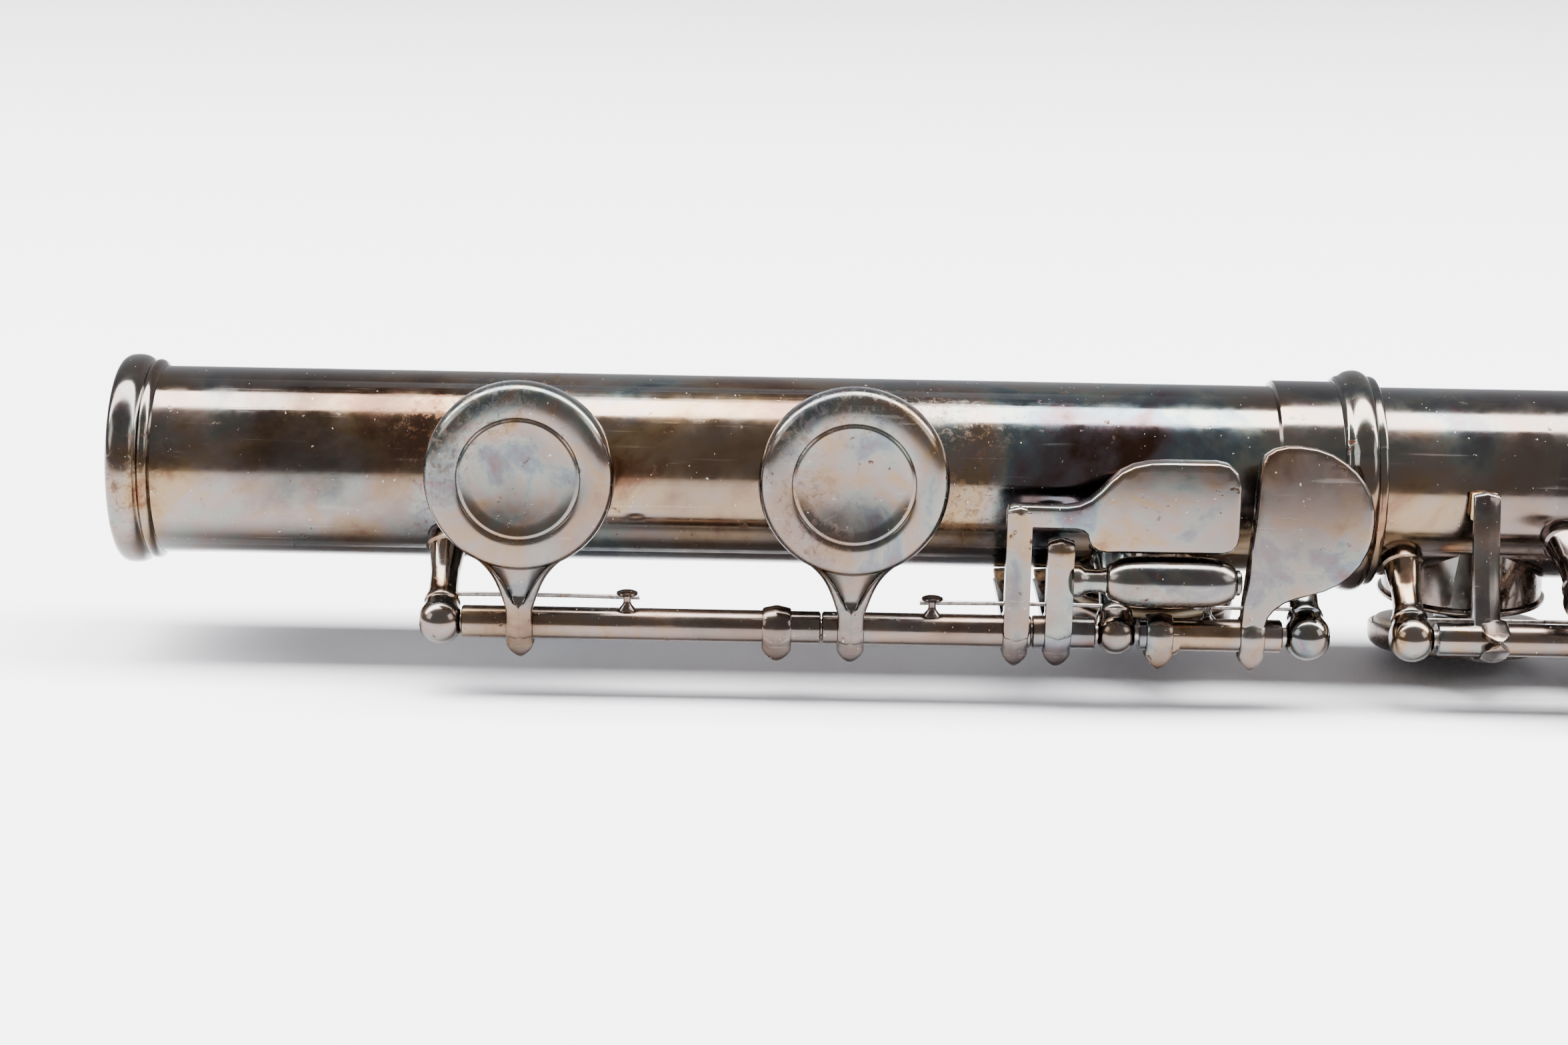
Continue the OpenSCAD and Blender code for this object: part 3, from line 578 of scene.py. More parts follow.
def flowing(corners, cuts=4):
    """Draws a closed smooth curve through the corners of an outline."""
    count = len(corners)
    curve = []
    for i in range(count):
        p0, p1, p2, p3 = (Vector(corners[(i + k) % count]) for k in (-1, 0, 1, 2))
        for j in range(cuts):
            t = j / cuts
            curve.append(0.5 * (2 * p1 + (p2 - p0) * t + (2 * p0 - 5 * p1 + 4 * p2 - p3) * t * t
                                + (3 * p1 - p0 - 3 * p2 + p3) * t ** 3))
    return [tuple(point) for point in curve]


def crested(x0, x1, corners, crest=0.34):
    """A bar cut to a side view of (y, z) pairs, with two long facets that meet on a crest down its middle."""
    curve = [Vector(point) for point in flowing(corners)]
    count = len(curve)
    turning = sum(a.x * b.y - b.x * a.y for a, b in zip(curve, curve[1:] + curve[:1]))
    inward = []
    for i, point in enumerate(curve):
        way = (curve[(i + 1) % count] - curve[i - 1]).normalized()
        inward.append(Vector((-way.y, way.x)) * (1 if turning > 0 else -1))
    middle, half = (x0 + x1) / 2, (x1 - x0) / 2
    bm = bmesh.new()
    rings = []
    for t, drop in ((-1, 0.62), (-0.97, 0.45), (-0.86, 0.34), (-0.5, 0.2), (-0.16, 0.05), (0, 0.0), (0.16, 0.05),
                    (0.5, 0.2), (0.86, 0.34), (0.97, 0.45), (1, 0.62)):
        drop = drop * crest / 0.34
        verts = [bm.verts.new((middle + half * t, p.x + n.x * drop, p.y + n.y * drop)) for p, n in zip(curve, inward)]
        rings.append([bm.edges.new((verts[i - 1], verts[i])) for i in range(count)])
    for lower, upper in zip(rings, rings[1:]):
        bmesh.ops.bridge_loops(bm, edges=lower + upper)
    for ends in (rings[0], rings[-1]):
        bmesh.ops.contextual_create(bm, geom=ends)
    bmesh.ops.recalc_face_normals(bm, faces=bm.faces)
    return bm


def slab(outline, low, high):
    """A flat shape cut from plate: outline of (x, y) pairs between two heights."""
    bm = bmesh.new()
    face = bm.faces.new([bm.verts.new((px, py, low)) for px, py in outline])
    raised = bmesh.ops.extrude_face_region(bm, geom=[face])
    lifted = [v for v in raised["geom"] if isinstance(v, bmesh.types.BMVert)]
    bmesh.ops.translate(bm, verts=lifted, vec=(0, 0, high - low))
    bmesh.ops.recalc_face_normals(bm, faces=bm.faces)
    return bm


def rounded_slab(outline, low, high, radius=0.5, crown=None):
    """A finger plate: its edge rolled over, and its face crowned by the function given."""
    bm = slab(outline, low, high)
    face = max(bm.faces, key=lambda f: (f.normal.z, f.calc_center_median().z))
    for step in range(1, 6):
        t = step / 5 * math.pi / 2
        before = (step - 1) / 5 * math.pi / 2
        bmesh.ops.inset_region(bm, faces=[face], thickness=radius * (math.cos(before) - math.cos(t)),
                               depth=radius * (math.sin(t) - math.sin(before)) * 0.9, use_even_offset=True)
    bottom = min(bm.faces, key=lambda f: (f.normal.z, f.calc_center_median().z))
    bmesh.ops.inset_region(bm, faces=[bottom], thickness=0.2, depth=0.15, use_even_offset=True)
    if crown:
        for way, places in (((1, 0, 0), [px for px, py in outline]), ((0, 1, 0), [py for px, py in outline])):
            cut = min(places) + 0.4
            while cut < max(places):
                bmesh.ops.bisect_plane(bm, geom=bm.verts[:] + bm.edges[:] + bm.faces[:], dist=1e-5,
                                       plane_co=(cut, cut, 0), plane_no=way)
                cut += 0.8
        for vert in bm.verts:
            vert.co.z += crown(vert.co.x, vert.co.y)
    return bm


def tail(x, side, w=2.75):
    outline = [(14.2, 12.6), (14.9, 13.6), (16.2, 13.6), (16.9, 12.4), (16.2, 9.4), (15.4, 6.6), (14.95, 4),
               (14.75, 1), (14.4, -1.6), (13.9, -2.4), (13.2, -2.4), (13.05, -1.4), (13.15, 1), (13.35, 4),
               (13.55, 7), (13.9, 10)]
    return crested(x - w / 2, x + w / 2, [(side * y, z) for y, z in outline])


def catch(x, side):
    """Mushroom-headed spring catch, standing on the hinge tube towards the cup."""
    outline = [(0, 1.2), (1.0, 1.45), (0.85, 1.72), (0.62, 1.95), (0.45, 2.2), (0.4, 2.5), (0.42, 2.95), (0.7, 3.08),
               (1.05, 3.12), (1.14, 3.24), (1.08, 3.4), (0.8, 3.53), (0.4, 3.62), (0, 3.65)]
    bm = turned(outline, 36)
    bm.transform(Matrix.Rotation(math.radians(side * 90), 4, "X"))
    bm.transform(at(x, side * ROD_Y, ROD_Z))
    return bm


def hinge(x0, x1, side):
    bm = turned([(0.95, x0), (1.55, x0), (1.7, x0 + 0.15), (1.7, x1 - 0.15), (1.55, x1), (0.95, x1)], 56, ring=True)
    bm.transform(at(0, side * ROD_Y, ROD_Z) @ LAID_ALONG)
    return bm


def key_work(x, r, x0, x1, side, catch_x, tail_x=None):
    """Every soldered part of one plain key, closed, in its own line's frame."""
    parts = [cup(x, r), flared_arm(x, r, side), saddle(x, side), hinge(x0, x1, side), catch(catch_x, side)]
    return together(parts + ([tail(tail_x, side)] if tail_x else []))


def swung(side, degrees=OPEN):
    """Swings a closed key open about its rod."""
    return (at(0, side * ROD_Y, ROD_Z) @ Matrix.Rotation(math.radians(-side * degrees), 4, "X")
            @ at(0, -side * ROD_Y, -ROD_Z))


# pads: woven felt under fish skin, held by the cup's screw; corks: glued under the tails
pad_skin, skin_tree, skin_shader, skin_place = new_finish("pad_skin")
skin_shader.inputs["Sheen Weight"].default_value = 0.2
skin_cloud = noise(skin_tree, skin_place, 260.0, 5.0, 0.6, 0.3)
skin_weave = noise(skin_tree, skin_place, 2600.0, 2.0, 0.5, 0.0)
skin_colour = ramp(skin_tree, skin_cloud.outputs["Fac"],
                   [(0.32, (0.36, 0.24, 0.13)), (0.5, (0.62, 0.50, 0.34)), (0.68, (0.72, 0.62, 0.46))])
skin_rough = ramp(skin_tree, skin_cloud.outputs["Fac"], [(0.3, grey(0.38)), (0.7, grey(0.62))])
skin_tree.links.new(skin_colour.outputs["Color"], skin_shader.inputs["Base Color"])
skin_tree.links.new(skin_rough.outputs["Color"], skin_shader.inputs["Roughness"])
bumped(skin_tree, skin_shader, skin_weave.outputs["Fac"], 0.4, 0.0001)

cork, cork_tree, cork_shader, cork_place = new_finish("cork")
cork_cells = noise(cork_tree, cork_place, 1500.0, 5.0, 0.7, 0.4)
cork_colour = ramp(cork_tree, cork_cells.outputs["Fac"],
                   [(0.34, (0.10, 0.05, 0.025)), (0.44, (0.42, 0.26, 0.13)), (0.62, (0.60, 0.41, 0.23))])
cork_shader.inputs["Roughness"].default_value = 0.85
cork_tree.links.new(cork_colour.outputs["Color"], cork_shader.inputs["Base Color"])
bumped(cork_tree, cork_shader, cork_cells.outputs["Fac"], 0.7, 0.0002)


def pad(x, r):
    """Pad with a bellied edge where the skin is drawn over the felt, and a dimple under the washer."""
    inner = r - 0.55
    outline = [(1.15, 12.52), (2.6, 12.5), (2.9, 12.46), (inner - 1.6, 12.46), (inner - 0.9, 12.5),
               (inner - 0.4, 12.62), (inner - 0.12, 12.85), (inner, 13.2), (inner, 15.28), (1.15, 15.28)]
    bm = turned(outline, 72, ring=True)
    bm.transform(at(x))
    return bm


def bumper(x, side, w=2.6):
    outline = [(12.35, -2.15), (12.97, -2.15), (13.1, -0.8), (13.12, 0.55), (12.05, 0.55), (12.2, -0.8)]
    return crested(x - w / 2, x + w / 2, [(side * y, z) for y, z in outline], 0.1)


def pad_and_cork(name, body, place, pads, corks, side, node):
    """The soft parts of one key: its pads and its corks."""
    felt = together([pad(x, r) for x, r in pads])
    piece = finished(felt, name + "_pad_skin", body, pad_skin, place, (node,))
    if corks:
        finished(together([bumper(x, side) for x in corks]), name + "_cork", body, cork, place)


# Low C key: the foot's lowest cup. Its tube is pinned to a steel that runs
# through the next key, up to a lever whose pin carries the roller.
low_c = key_work(43.3, 9.68, 37.3, 74.05, -1, 54.2)
fitted(low_c, saddle(69.55, -1, 3.0))
fitted(low_c, hinge(95.65, 102.1, -1))
fitted(low_c, saddle(98.2, -1))
fitted(low_c, tail(98.2, -1))
lever_side = [(-16.3, 12.9), (-15.9, 14.6), (-14.9, 15.55), (-8, 15.75), (-6.1, 15.6), (-5.35, 14.9), (-5.3, 13.9),
              (-6.2, 13.2), (-13, 13.1), (-14.6, 12.4)]
fitted(low_c, crested(96.82, 99.57, lever_side))
waist = [(0, 99.3), (1.5, 99.3), (1.74, 99.5), (1.78, 99.9), (1.74, 100.25), (1.5, 100.6), (1.28, 101.1),
         (1.2, 101.8), (1.22, 102.3), (1.35, 102.6), (1.35, 102.8), (0.78, 102.85), (0.78, 116.05), (1.3, 116.1),
         (1.3, 116.4), (1.0, 116.6), (0, 116.62)]
fitted(low_c, turned(waist, 40), at(0, -9.65, 14.4) @ LAID_ALONG)
finished(low_c, "low_c_key_work", "low_c", key_silver, FOOT_KEYS @ swung(-1), ("low_c_key", "low_c_lever"))
finished(rod(34, 104.2, 0.9, steps=32), "low_c_turning_steel", "low_c", spring_steel,
         FOOT_KEYS @ swung(-1) @ at(0, -ROD_Y, ROD_Z), ("low_c_steel",))
pad_and_cork("low_c", "low_c", FOOT_KEYS @ swung(-1), [(43.3, 9.68)], [98.2], -1, "low_c_pad")

# roller: a barrel of solid silver that spins on the lever's pin
roller_end = [(1.45, 0), (1.62, 0.08), (1.78, 0.28), (1.98, 0.62), (2.2, 1.1), (2.39, 1.7), (2.5, 2.4), (2.56, 3.3),
              (2.6, 5.0)]
barrel_shape = [(0.87, 102.9)] + [(radius, 102.9 + back) for radius, back in roller_end]
barrel_shape += [(radius, 115.95 - back) for radius, back in reversed(roller_end)] + [(0.87, 115.95)]
finished(turned(barrel_shape, 72, ring=True), "little_finger_roller", "roller", key_silver,
         FOOT_KEYS @ swung(-1) @ at(0, -9.65, 14.4) @ LAID_ALONG, ("roller",))

# C sharp key: second cup, and a bent lever ending in a leaf-shaped plate for
# the little finger.
leaf = [(92.6, -4.2), (92.62, -2.6), (92.8, -2.05), (93.3, -1.85), (98.6, -1.85), (99.8, -1.65), (100.9, -1.1),
        (101.9, -0.2), (102.8, 0.8), (103.9, 1.75), (105.2, 2.4), (106.8, 2.75), (108.6, 2.85), (113.6, 2.85),
        (114.8, 2.6), (115.7, 1.85), (116.08, 0.8), (116.1, -0.4), (116.1, -4.6), (115.95, -5.5), (115.4, -6.2),
        (114.5, -6.52), (113.4, -6.55), (102.8, -6.55), (101.8, -6.4), (101.15, -5.95), (100.85, -5.3), (100.7, -4.7),
        (100.3, -4.35), (99.6, -4.2)]


def crowned(px, py):
    return -0.0105 * (py + 3) ** 2 - 0.0022 * (px - 108) ** 2


c_sharp = key_work(77.1, 9.68, 74.15, 95.55, -1, 85.4)
fitted(c_sharp, rounded_slab(leaf, 14.0, 15.35, 0.5, crowned))
fitted(c_sharp, saddle(93.9, -1, 2.6))
fitted(c_sharp, tail(93.9, -1, 2.6))
bent_side = [(-16.3, 12.9), (-15.9, 14.6), (-14.9, 15.5), (-4, 15.75), (-2.4, 15.7), (-1.9, 15.1), (-2.0, 14.2),
             (-4, 13.9), (-12, 13.2), (-14.6, 12.4)]
fitted(c_sharp, crested(92.6, 95.2, bent_side))
finished(c_sharp, "c_sharp_key_work", "c_sharp", key_silver, FOOT_KEYS @ swung(-1), ("c_sharp_key", "c_sharp_plate"))
pad_and_cork("c_sharp", "c_sharp", FOOT_KEYS @ swung(-1), [(77.1, 9.68)], [93.9], -1, "c_sharp_pad")

# D sharp key: a see-saw. Pressing its half-moon plate lifts the closed cup that
# hangs on the far side of the same rod.
moon = [(116.8, -15.6), (119.25, -15.6), (119.3, -14.6), (119.6, -13.6), (120.2, -12.8), (121.2, -12.05),
        (122.4, -11.6), (123.8, -11.2), (125.2, -10.75), (126.5, -10.1), (127.7, -9.2), (128.7, -8.0), (129.4, -6.6),
        (129.8, -5.2), (129.92, -3.8), (129.85, -2.3), (129.5, -0.9), (128.8, 0.4), (127.9, 1.5), (126.8, 2.4),
        (125.4, 3.25), (123.8, 3.8), (122.1, 4.02), (120.8, 4.0), (119.6, 3.7), (118.7, 3.1), (118.25, 2.2),
        (118.05, 0.5), (117.85, -3), (117.4, -8), (117.0, -12)]


def tilted(px, py):
    return 0.075 * (py + 0.6) - 0.00425 * (py + 0.6) ** 2 - 0.002 * (px - 123) ** 2


d_sharp = together([cup(109.4, 9.0), flared_arm(109.4, 9.0, 1)],
                   Matrix.Rotation(math.radians(BODY_TURN - FOOT_TURN), 4, "X"))
for part in (hinge(106.5, 121.2, -1), saddle(108.65, -1), saddle(118.1, -1, 2.5), catch(113.6, -1),
             rounded_slab(moon, 14.5, 15.95, 0.5, tilted)):
    fitted(d_sharp, part)
finished(d_sharp, "d_sharp_key_work", "d_sharp", key_silver, FOOT_KEYS, ("d_sharp_key",))
pad_and_cork("d_sharp", "d_sharp", BODY_KEYS, [(109.4, 9.0)], [], 1, "d_sharp_pad")

# Body tube: long drawn tube with a chimney for every tone hole, and the barrel
# that takes the head. Its lower end is the tenon inside the foot's socket.
MAIN_HOLES = ((142.9, 7.9), (171.7, 7.8), (198.8, 7.8), (224.5, 7.7), (248.7, 7.4), (271.6, 7.4), (293.2, 7.1),
              (313.6, 7.0), (350.0, 3.6))
SIDE_HOLES = (((248.7, 7.2), -67), ((332.8, 6.8), 30), ((366.0, 3.9), 59), ((381.0, 3.9), 59))
all_holes = [(hole, BODY_TURN) for hole in MAIN_HOLES] + list(SIDE_HOLES)
body_tube = finished(rod(123.0, 427.0, 10.0, steps=128), "body_joint_tube", "body", tube_silver,
                     stands_for=("body_tube",))
bored(body_tube, [turned_part(chimney(hole), angle) for hole, angle in all_holes],
      [rod(122, 428, 9.5, steps=128)] + [hole_tool(hole, angle) for hole, angle in all_holes])

barrel_outline = [(10.02, 415), (11.2, 415), (11.6, 415.15), (11.9, 415.6), (12.0, 416.3), (11.95, 416.9),
                  (11.7, 417.4), (11.35, 417.7), (11.05, 417.85), (11.0, 418.1), (11.0, 463.8), (11.05, 464.1),
                  (11.4, 464.25), (11.8, 464.55), (12.1, 465.2), (12.2, 466), (12.1, 466.8), (11.85, 467.4),
                  (11.55, 467.75), (11.5, 468), (11.5, 469.9), (11.6, 470.1), (11.9, 470.3), (12.12, 470.7),
                  (12.2, 471.3), (12.12, 471.9), (11.9, 472.5), (11.6, 472.85), (11.2, 473), (9.96, 473),
                  (9.96, 427.02), (10.02, 427.02)]
finished(turned(barrel_outline, 128, ring=True), "head_barrel", "body", tube_silver, LAID_ALONG, ("barrel",),
         sharp=50)

body_pillars = together(
    [post(134.65, 219, 10.0, ball=2.4, face=2.2)]
    + [post(x, 219, 10.0) for x in (238.3, 323.6, 359.2)]
    + [post(x, 200, 10.0, TRILL_R) for x in (150.9, 388.3)]
    + [post(x, 200, 10.0, TRILL_R, 2.9, 2.6) for x in (233.0, 318.0)]
    + [post(x, 171, 10.0) for x in (320.6, 350.4)]
    + [post(x, 332, 10.0) for x in (236.4, 286.4)]
)
finished(body_pillars, "body_joint_posts", "body", rod_silver, stands_for=("body_posts",), sharp=42)

body_rods = together([steel(133.5, 360.3, 219), steel(319.6, 351.4, 171), steel(235.4, 287.4, 332)])
finished(body_rods, "body_joint_steels", "body", spring_steel, stands_for=("body_steel",))
body_wires = together([needle(x0, x1, 1)
                       for x0, x1 in ((133.8, 154.6), (221.4, 239.2), (322.8, 340.6), (344, 360))])
finished(body_wires, "body_joint_springs", "body", spring_steel, BODY_KEYS, ("body_springs",))

# Finger keys of the body: silver cups on one rod line, all alike. Each is soldered
# to its own hinge tube with an arm, a saddle and a tail, and turns on one steel.
for name, body, x, r, x0, x1, catch_x, tail_x in (
    ("d_key", "d", 142.9, 9.6, 137.1, 157.5, 153.4, 142.2),
    ("e_key", "e", 171.7, 9.45, 157.6, 184.8, 162, 178),
    ("f_key", "f", 198.8, 9.4, 184.9, 211.4, 192, 206),
    ("f_sharp_key", "f_sharp", 224.5, 9.3, 211.5, 235.9, 222.6, 216),
    ("a_key", "a", 293.2, 8.7, 282.5, 303, 286, 299.6),
    ("b_flat_key", "b_flat", 313.6, 8.7, 303.1, 321.3, 306.4, 309.4),
):
    finished(key_work(x, r, x0, x1, 1, catch_x, tail_x), name + "_work", body, key_silver,
             BODY_KEYS @ swung(1), (name,))
    pad_and_cork(name, body, BODY_KEYS @ swung(1), [(x, r)], [tail_x], 1, name.replace("_key", "_pad"))

# the G key carries two cups on one tube
g_work = key_work(248.7, 9.0, 240.7, 282.4, 1, 262, 256)
for part in (cup(271.6, 9.0), flared_arm(271.6, 9.0, 1), saddle(271.6, 1)):
    fitted(g_work, part)
finished(g_work, "g_key_work", "g", key_silver, BODY_KEYS @ swung(1), ("g_key",))
pad_and_cork("g_key", "g", BODY_KEYS @ swung(1), [(248.7, 9.0), (271.6, 9.0)], [256], 1, "g_pads")

# C key: a small cup and, further down the same silver tube, a disc for the first
# finger. It shares the finger keys' rod line.


def button(x0, x1, y0, y1, low, high):
    """Finger plate with round ends, its rim rolled over."""
    r = (x1 - x0) / 2
    middle = (x0 + x1) / 2
    ends = [(middle + r * math.cos(t), y1 - r + r * math.sin(t)) for t in [i * math.pi / 14 for i in range(15)]]
    ends += [(middle - r * math.cos(t), y0 + r - r * math.sin(t)) for t in [i * math.pi / 14 for i in range(15)]]
    if abs(y1 - y0 - 2 * r) < 0.02:
        ends = ends[:-1]
        ends.pop(14)
    return rounded_slab(ends, low, high - 0.45, 0.5)


c_work = key_work(350, 5.3, 326, 356.8, 1, 344.8, 340)
for part in (flared_arm(333.4, 6.6, 1), saddle(333.4, 1), button(326.8, 340, -6.7, 6.7, 13.6, 15.8)):
    fitted(c_work, part)
finished(c_work, "c_key_work", "c", key_silver, BODY_KEYS @ swung(1), ("c_key",))
pad_and_cork("c_key", "c", BODY_KEYS @ swung(1), [(350, 5.3)], [340], 1, "c_pad")

# G sharp key: a closed cup on the far side of the tube, with a see-saw touch for
# the left little finger. It has a rod and two posts of its own.
side_y = -ROD_R * math.sin(math.radians(62))
side_z = ROD_R * math.cos(math.radians(62))
g_sharp = together([cup(248.7, 8.8), flared_arm(248.7, 8.8, 1), saddle(248.7, 1, 2.6)],
                   Matrix.Rotation(math.radians(-67 - BODY_TURN), 4, "X"))
touch = [(259.3, -14.6), (260.2, -15.8), (262, -16.4), (279, -16.4), (280.6, -15.8), (281.2, -14.3), (280.6, -12.8),
         (279, -12.0), (270, -11.2), (262, -10.4), (260.2, -11.0), (259.2, -12.4)]
fitted(g_sharp, rounded_slab(touch, 14.6, 15.95, 0.5))
fitted(g_sharp, crested(266, 269, [(side_y - 1.4, side_z - 0.6), (side_y + 1.4, side_z - 0.6), (-15.6, 13.6),
                                   (-14.2, 15.2), (-14.6, 16), (-18.2, 15.7), (-19.2, 12.6)]))
side_tube = [(0.95, 238.8), (1.6, 238.8), (1.7, 239), (1.7, 283.8), (1.6, 284), (0.95, 284)]
fitted(g_sharp, turned(side_tube, 56, ring=True), at(0, side_y, side_z) @ LAID_ALONG)
finished(g_sharp, "g_sharp_key_work", "g_sharp", key_silver, BODY_KEYS, ("g_sharp_key",))
pad_and_cork("g_sharp", "g_sharp", Matrix.Rotation(math.radians(-67), 4, "X"), [(248.7, 8.8)], [], 1, "g_sharp_pad")

# Thumb keys: a cup under the tube with a long plate on it, and beside it the
# B flat touch, on a short rod of their own.
THUMB_KEYS = Matrix.Rotation(math.radians(30), 4, "X")
thumb = key_work(332.8, 8.4, 329, 348, -1, 343.4, 346.6)
fitted(thumb, button(326.8, 338.8, -2, 16, 15.95, 17.55))
finished(thumb, "thumb_key_work", "thumb", key_silver, THUMB_KEYS @ swung(-1), ("thumb_key",))
pad_and_cork("thumb_key", "thumb", THUMB_KEYS @ swung(-1), [(332.8, 8.4)], [346.6], -1, "thumb_pad")
touch_lever = [(-16.3, 12.9), (-15.6, 15.2), (-7.3, 15.4), (-7.0, 14.4), (-7.4, 13.4), (-14.6, 12.4)]
thumb_b_flat = together([hinge(323.1, 328.9, -1), saddle(324.6, -1, 2.6), button(312.6, 322.6, -9, 9, 14, 15.9),
                         crested(323.3, 325.9, touch_lever),
                         crested(316, 325.5, [(-10, 13.7), (-9.8, 15.3), (-7.2, 15.3), (-7.0, 13.7)], 0.2)])
finished(thumb_b_flat, "thumb_b_flat_work", "thumb_b_flat", key_silver, THUMB_KEYS @ swung(-1), ("thumb_b_flat_key",))

# Trill keys: two small closed cups near the barrel. Their touches lie between
# the finger cups and reach round the main rod; one key's steel turns inside the
# other's long tube.
trill_y = TRILL_R * math.sin(math.radians(70))
trill_z = TRILL_R * math.cos(math.radians(70))


def trill_touch(x, w):
    bm = button(x - w / 2, x + w / 2, 0.5, 11.5, 16.6, 18.2)
    reach = [(trill_y - 1.4, trill_z + 0.6), (trill_y - 0.9, 13), (trill_y - 1.4, 15.7), (6, 15.9), (6, 17.4),
             (trill_y, 17.5), (trill_y + 1.3, 15.4), (trill_y + 1.5, trill_z)]
    fitted(bm, crested(x - 1.4, x + 1.4, reach))
    return bm


def trill_tube(x0, x1, radius=1.7):
    return turned([(0.95, x0), (radius - 0.1, x0), (radius, x0 + 0.12), (radius, x1 - 0.12), (radius - 0.1, x1),
                   (0.95, x1)], 56, ring=True)


ON_TRILL_ROD = at(0, trill_y, trill_z) @ LAID_ALONG
FROM_CUPS = Matrix.Rotation(math.radians(59 - 180), 4, "X")
d_trill = trill_touch(185.3, 6.4)
fitted(d_trill, trill_tube(161, 370.9), ON_TRILL_ROD)
fitted(d_trill, trill_tube(364.6, 367.4, 2.3), ON_TRILL_ROD)
d_sharp_trill = trill_touch(157.4, 7)
finished(turned([(0, 150), (0.9, 150), (0.9, 389.2), (0, 389.2)], 32), "d_sharp_trill_turning_steel", "d_sharp_trill",
         spring_steel, BODY_KEYS @ ON_TRILL_ROD, ("d_sharp_trill_steel",))
for x0, x1, radius in ((153.4, 160.9, 1.7), (371, 385.8, 1.7), (379.6, 382.4, 2.3)):
    fitted(d_sharp_trill, trill_tube(x0, x1, radius), ON_TRILL_ROD)
for name, work, x in (("d_trill", d_trill, 366), ("d_sharp_trill", d_sharp_trill, 381)):
    fitted(work, cup(x, 5.4), FROM_CUPS)
    fitted(work, flared_arm(x, 5.4, -1, reach=16.1), FROM_CUPS)
    finished(work, name + "_key_work", name, key_silver, BODY_KEYS, (name + "_key", name + "_touch"))
    pad_and_cork(name, name, Matrix.Rotation(math.radians(59), 4, "X"), [(x, 5.4)], [], -1, name + "_pad")

# Head joint: tapered tube, lip plate on its riser, the cork with its discs and
# screw, and the crown that closes the end.
MOUTH_X = 606.4


def mouth_tool(top):
    outline = []
    for i in range(48):
        t = i * math.tau / 48
        cosine, sine = math.cos(t), math.sin(t)
        outline.append((MOUTH_X + 6.1 * math.copysign(abs(cosine) ** 0.8, cosine),
                        5.15 * math.copysign(abs(sine) ** 0.8, sine)))
    bm = slab(outline, 2.0, 2.0 + top)
    bm.transform(BODY_KEYS)
    return bm


taper = [(475 + i * 18.5, 0.81 * (i / 8) * (2 - i / 8)) for i in range(9)]
head_outline = [(9.5, 428.2), (9.91, 428.2)] + [(9.91 - drop, x) for x, drop in taper] + [(9.1, 652), (8.7, 652)]
head_outline += [(9.5 - drop, x) for x, drop in reversed(taper)]
head_tube = finished(turned(head_outline, 128, ring=True), "head_joint_tube", "head", tube_silver, LAID_ALONG,
                     ("head_tube",))
bored(head_tube, [], [mouth_tool(11)])

plate_edge = [(MOUTH_X + 21.4 * math.cos(t), 12.3 * math.sin(t) * (1 - 0.16 * math.cos(t) ** 2))
              for t in [i * math.tau / 72 for i in range(72)]]
lip = slab(plate_edge, 2.0, 16.0)
lip.transform(BODY_KEYS)
lip_plate = finished(lip, "lip_plate_shell", "head", tube_silver, stands_for=("lip_plate",))
outer_waste = turned([(14.05, MOUTH_X - 30), (40, MOUTH_X - 30), (40, MOUTH_X + 30), (14.05, MOUTH_X + 30)], 160,
                     ring=True)
outer_waste.transform(LAID_ALONG)
bored(lip_plate, [], [outer_waste, rod(MOUTH_X - 30, MOUTH_X + 30, 13.3, steps=160)])
riser = bmesh.new()
bmesh.ops.create_circle(riser, cap_ends=True, radius=1.0, segments=64)
for vert in riser.verts:
    vert.co = Vector((MOUTH_X + 7.3 * vert.co.x, 6.3 * vert.co.y, 6.0))
up = bmesh.ops.extrude_face_region(riser, geom=riser.faces[:])
bmesh.ops.translate(riser, verts=[v for v in up["geom"] if isinstance(v, bmesh.types.BMVert)], vec=(0, 0, 7.45))
bmesh.ops.recalc_face_normals(riser, faces=riser.faces)
riser.transform(BODY_KEYS)
taper_core = turned([(0, 570), (9.45, 570), (9.115, 623.2), (9.115, 650), (0, 650)], 128)
taper_core.transform(LAID_ALONG)
bored(lip_plate, [riser], [taper_core, mouth_tool(20)])
softened(lip_plate, 0.3, 3)

cork_body = turned([(2.05, 625.3), (8.5, 625.3), (8.64, 625.6), (8.64, 639.7), (8.5, 640), (2.05, 640)], 64,
                   ring=True)
finished(cork_body, "head_cork", "head", cork, LAID_ALONG, ("stopper_cork",))
screw_outline = [(0, 623.7), (8.35, 623.7), (8.5, 623.85), (8.5, 625.05), (8.35, 625.2), (2.0, 625.2), (2.0, 640.1),
                 (7.3, 640.1), (7.5, 640.3), (7.5, 641.4), (7.3, 641.6), (3.6, 641.6), (3.6, 644.5), (2.0, 644.5)]
threads = [(1.8 if i % 2 else 2.0, 644.7 + i * 0.25) for i in range(40)]
finished(turned(screw_outline + threads + [(1.8, 655.0), (0, 655.0)], 64), "stopper_rod", "head", key_silver,
         LAID_ALONG, ("stopper_screw",))

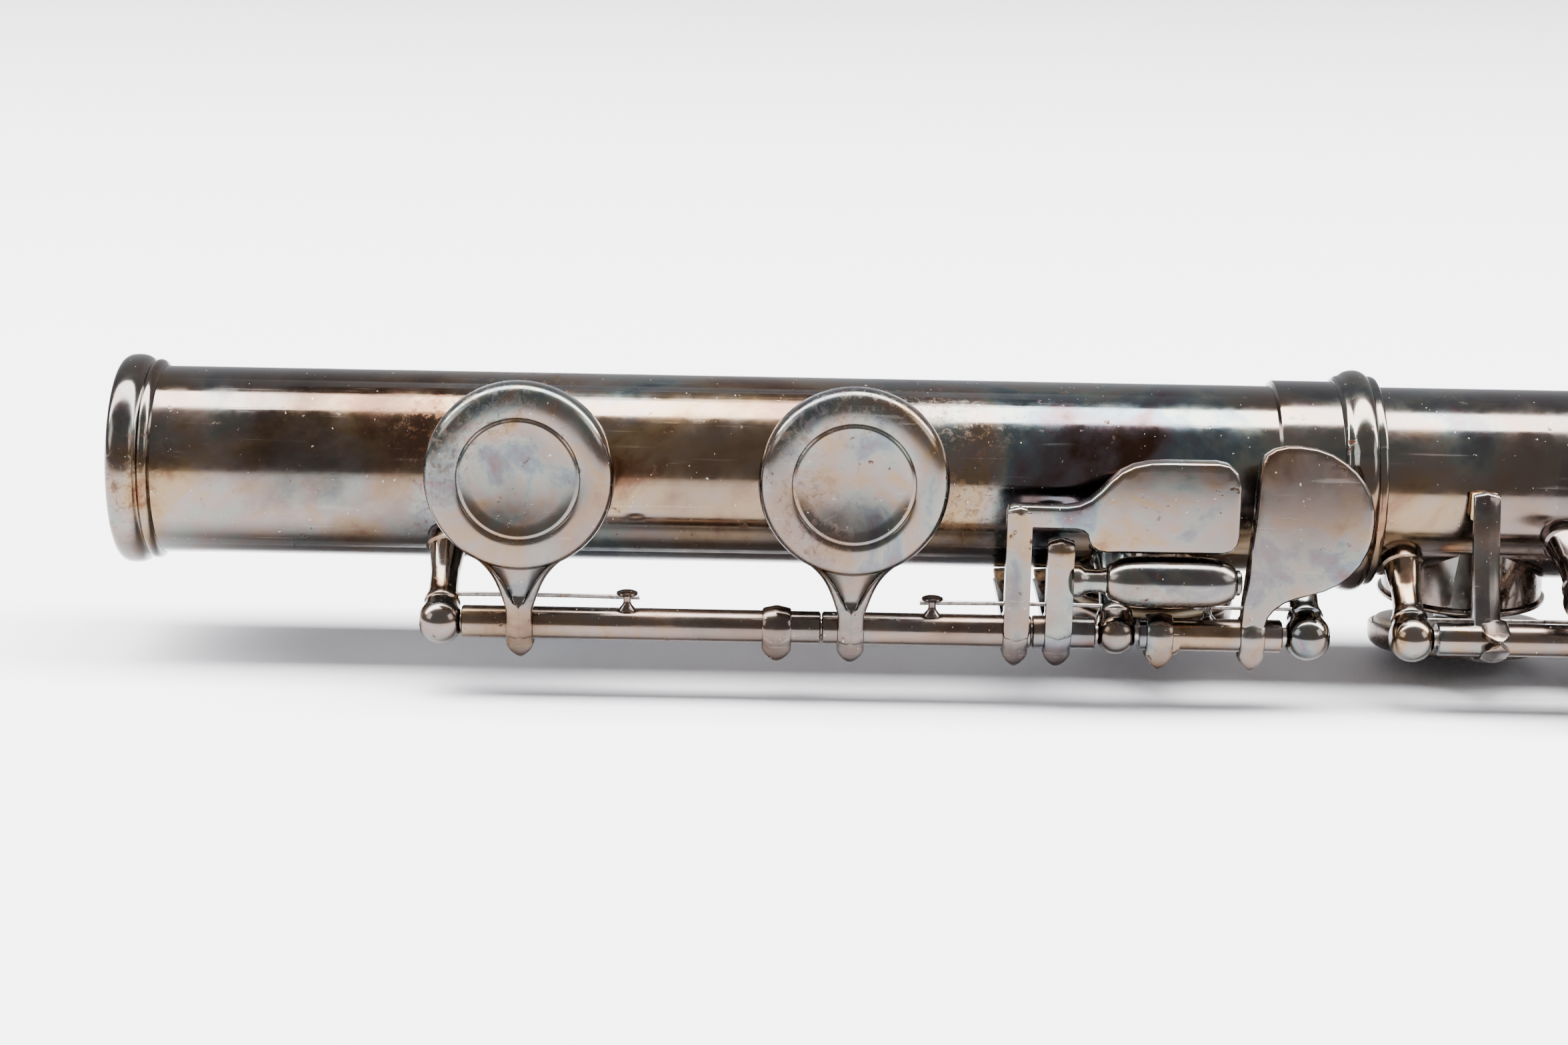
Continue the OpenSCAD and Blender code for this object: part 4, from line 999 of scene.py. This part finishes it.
crown_outline = [(2.05, 646), (8.45, 646), (8.6, 646.2), (8.6, 652.15), (9.6, 652.2), (10.0, 652.35), (10.28, 652.8),
                 (10.4, 653.5), (10.4, 655.4), (10.28, 656.2), (10.0, 656.8), (9.78, 657.1), (9.78, 657.4),
                 (9.9, 657.7), (9.75, 658.6), (9.2, 659.6), (8.2, 660.6), (6.8, 661.4), (5.2, 662.0), (3.9, 662.3),
                 (3.2, 662.6), (3.0, 663.0), (2.6, 663.6), (1.9, 664.0), (1.0, 664.18), (0, 664.2)]
finished(turned(crown_outline + [(0, 655.4), (2.05, 655.4)], 96, ring=True), "head_crown", "crown", tube_silver,
         LAID_ALONG, ("crown",), sharp=50)

# Table, light and camera. The flute lies on a pale matt table under a large
# soft light, in an even grey room that the plate mirrors.
table = bmesh.new()
bmesh.ops.create_grid(table, x_segments=2, y_segments=2, size=4.0)
bmesh.ops.translate(table, verts=table.verts, vec=(0.3, 0, cad_box[0][2] - 0.0005))
table_mesh = bpy.data.meshes.new("table")
table.to_mesh(table_mesh)
table.free()
table_top = bpy.data.objects.new("table", table_mesh)
bpy.context.collection.objects.link(table_top)
paper = bpy.data.materials.new("table_paper")
paper.use_nodes = True
paper_shader = paper.node_tree.nodes["Principled BSDF"]
paper_shader.inputs["Base Color"].default_value = (0.79, 0.806, 0.86, 1)
paper_shader.inputs["Roughness"].default_value = 0.65
table_mesh.materials.append(paper)


def lamp(name, place, aim, size, watts, colour=(1, 1, 1)):
    light = bpy.data.lights.new(name, "AREA")
    light.shape = "RECTANGLE"
    light.size, light.size_y = size
    light.energy = watts
    light.color = colour
    holder = bpy.data.objects.new(name, light)
    holder.location = place
    holder.rotation_euler = (Vector(aim) - Vector(place)).to_track_quat("-Z", "Y").to_euler()
    bpy.context.collection.objects.link(holder)


lamp("overhead", (0.15, 0.05, 0.90), (0.15, 0.0, 0.0), (4.0, 0.40), 180.0, (1.0, 0.985, 0.97))
lamp("left", (-1.3, -0.7, 0.8), (0.0, -0.2, 0.0), (0.7, 0.7), 7.0, (0.98, 0.99, 1.0))
lamp("right", (1.5, -0.7, 0.8), (0.1, -0.2, 0.0), (0.7, 0.7), 7.0, (0.98, 0.99, 1.0))

world = bpy.data.worlds.new("room")
bpy.context.scene.world = world
world.use_nodes = True
room = world.node_tree
toward = room.nodes.new("ShaderNodeTexCoord").outputs["Generated"]
split = room.nodes.new("ShaderNodeSeparateXYZ")
room.links.new(toward, split.inputs["Vector"])
level = sums(room, "ADD", sums(room, "MULTIPLY", split.outputs["Y"], 0.5), 0.5)
shade = ramp(room, level, [(0.30, (0.36, 0.343, 0.337)), (0.46, (0.34, 0.335, 0.333)), (0.62, (0.31, 0.306, 0.31)),
                           (1.0, (0.46, 0.468, 0.50))])
room.links.new(shade.outputs["Color"], room.nodes["Background"].inputs["Color"])
room.nodes["Background"].inputs["Strength"].default_value = 1.5

tilt = math.radians(15.4)
roll = math.radians(1.07)
away = Vector((0, math.cos(tilt), -math.sin(tilt)))
level_up = Vector((0, math.sin(tilt), math.cos(tilt)))
centre = Vector((0.0701, 0, 0)) - 0.0056 * level_up
right = math.cos(roll) * Vector((1, 0, 0)) + math.sin(roll) * level_up
up_way = -math.sin(roll) * Vector((1, 0, 0)) + math.cos(roll) * level_up
eye = centre - 0.317 * away
lens = bpy.data.cameras.new("camera")
lens.lens = 68.4
lens.sensor_width = 36
lens.clip_start = 0.01
camera = bpy.data.objects.new("camera", lens)
camera.matrix_world = Matrix((
    (right.x, up_way.x, -away.x, eye.x),
    (right.y, up_way.y, -away.y, eye.y),
    (right.z, up_way.z, -away.z, eye.z),
    (0, 0, 0, 1),
))
bpy.context.collection.objects.link(camera)
bpy.context.scene.camera = camera
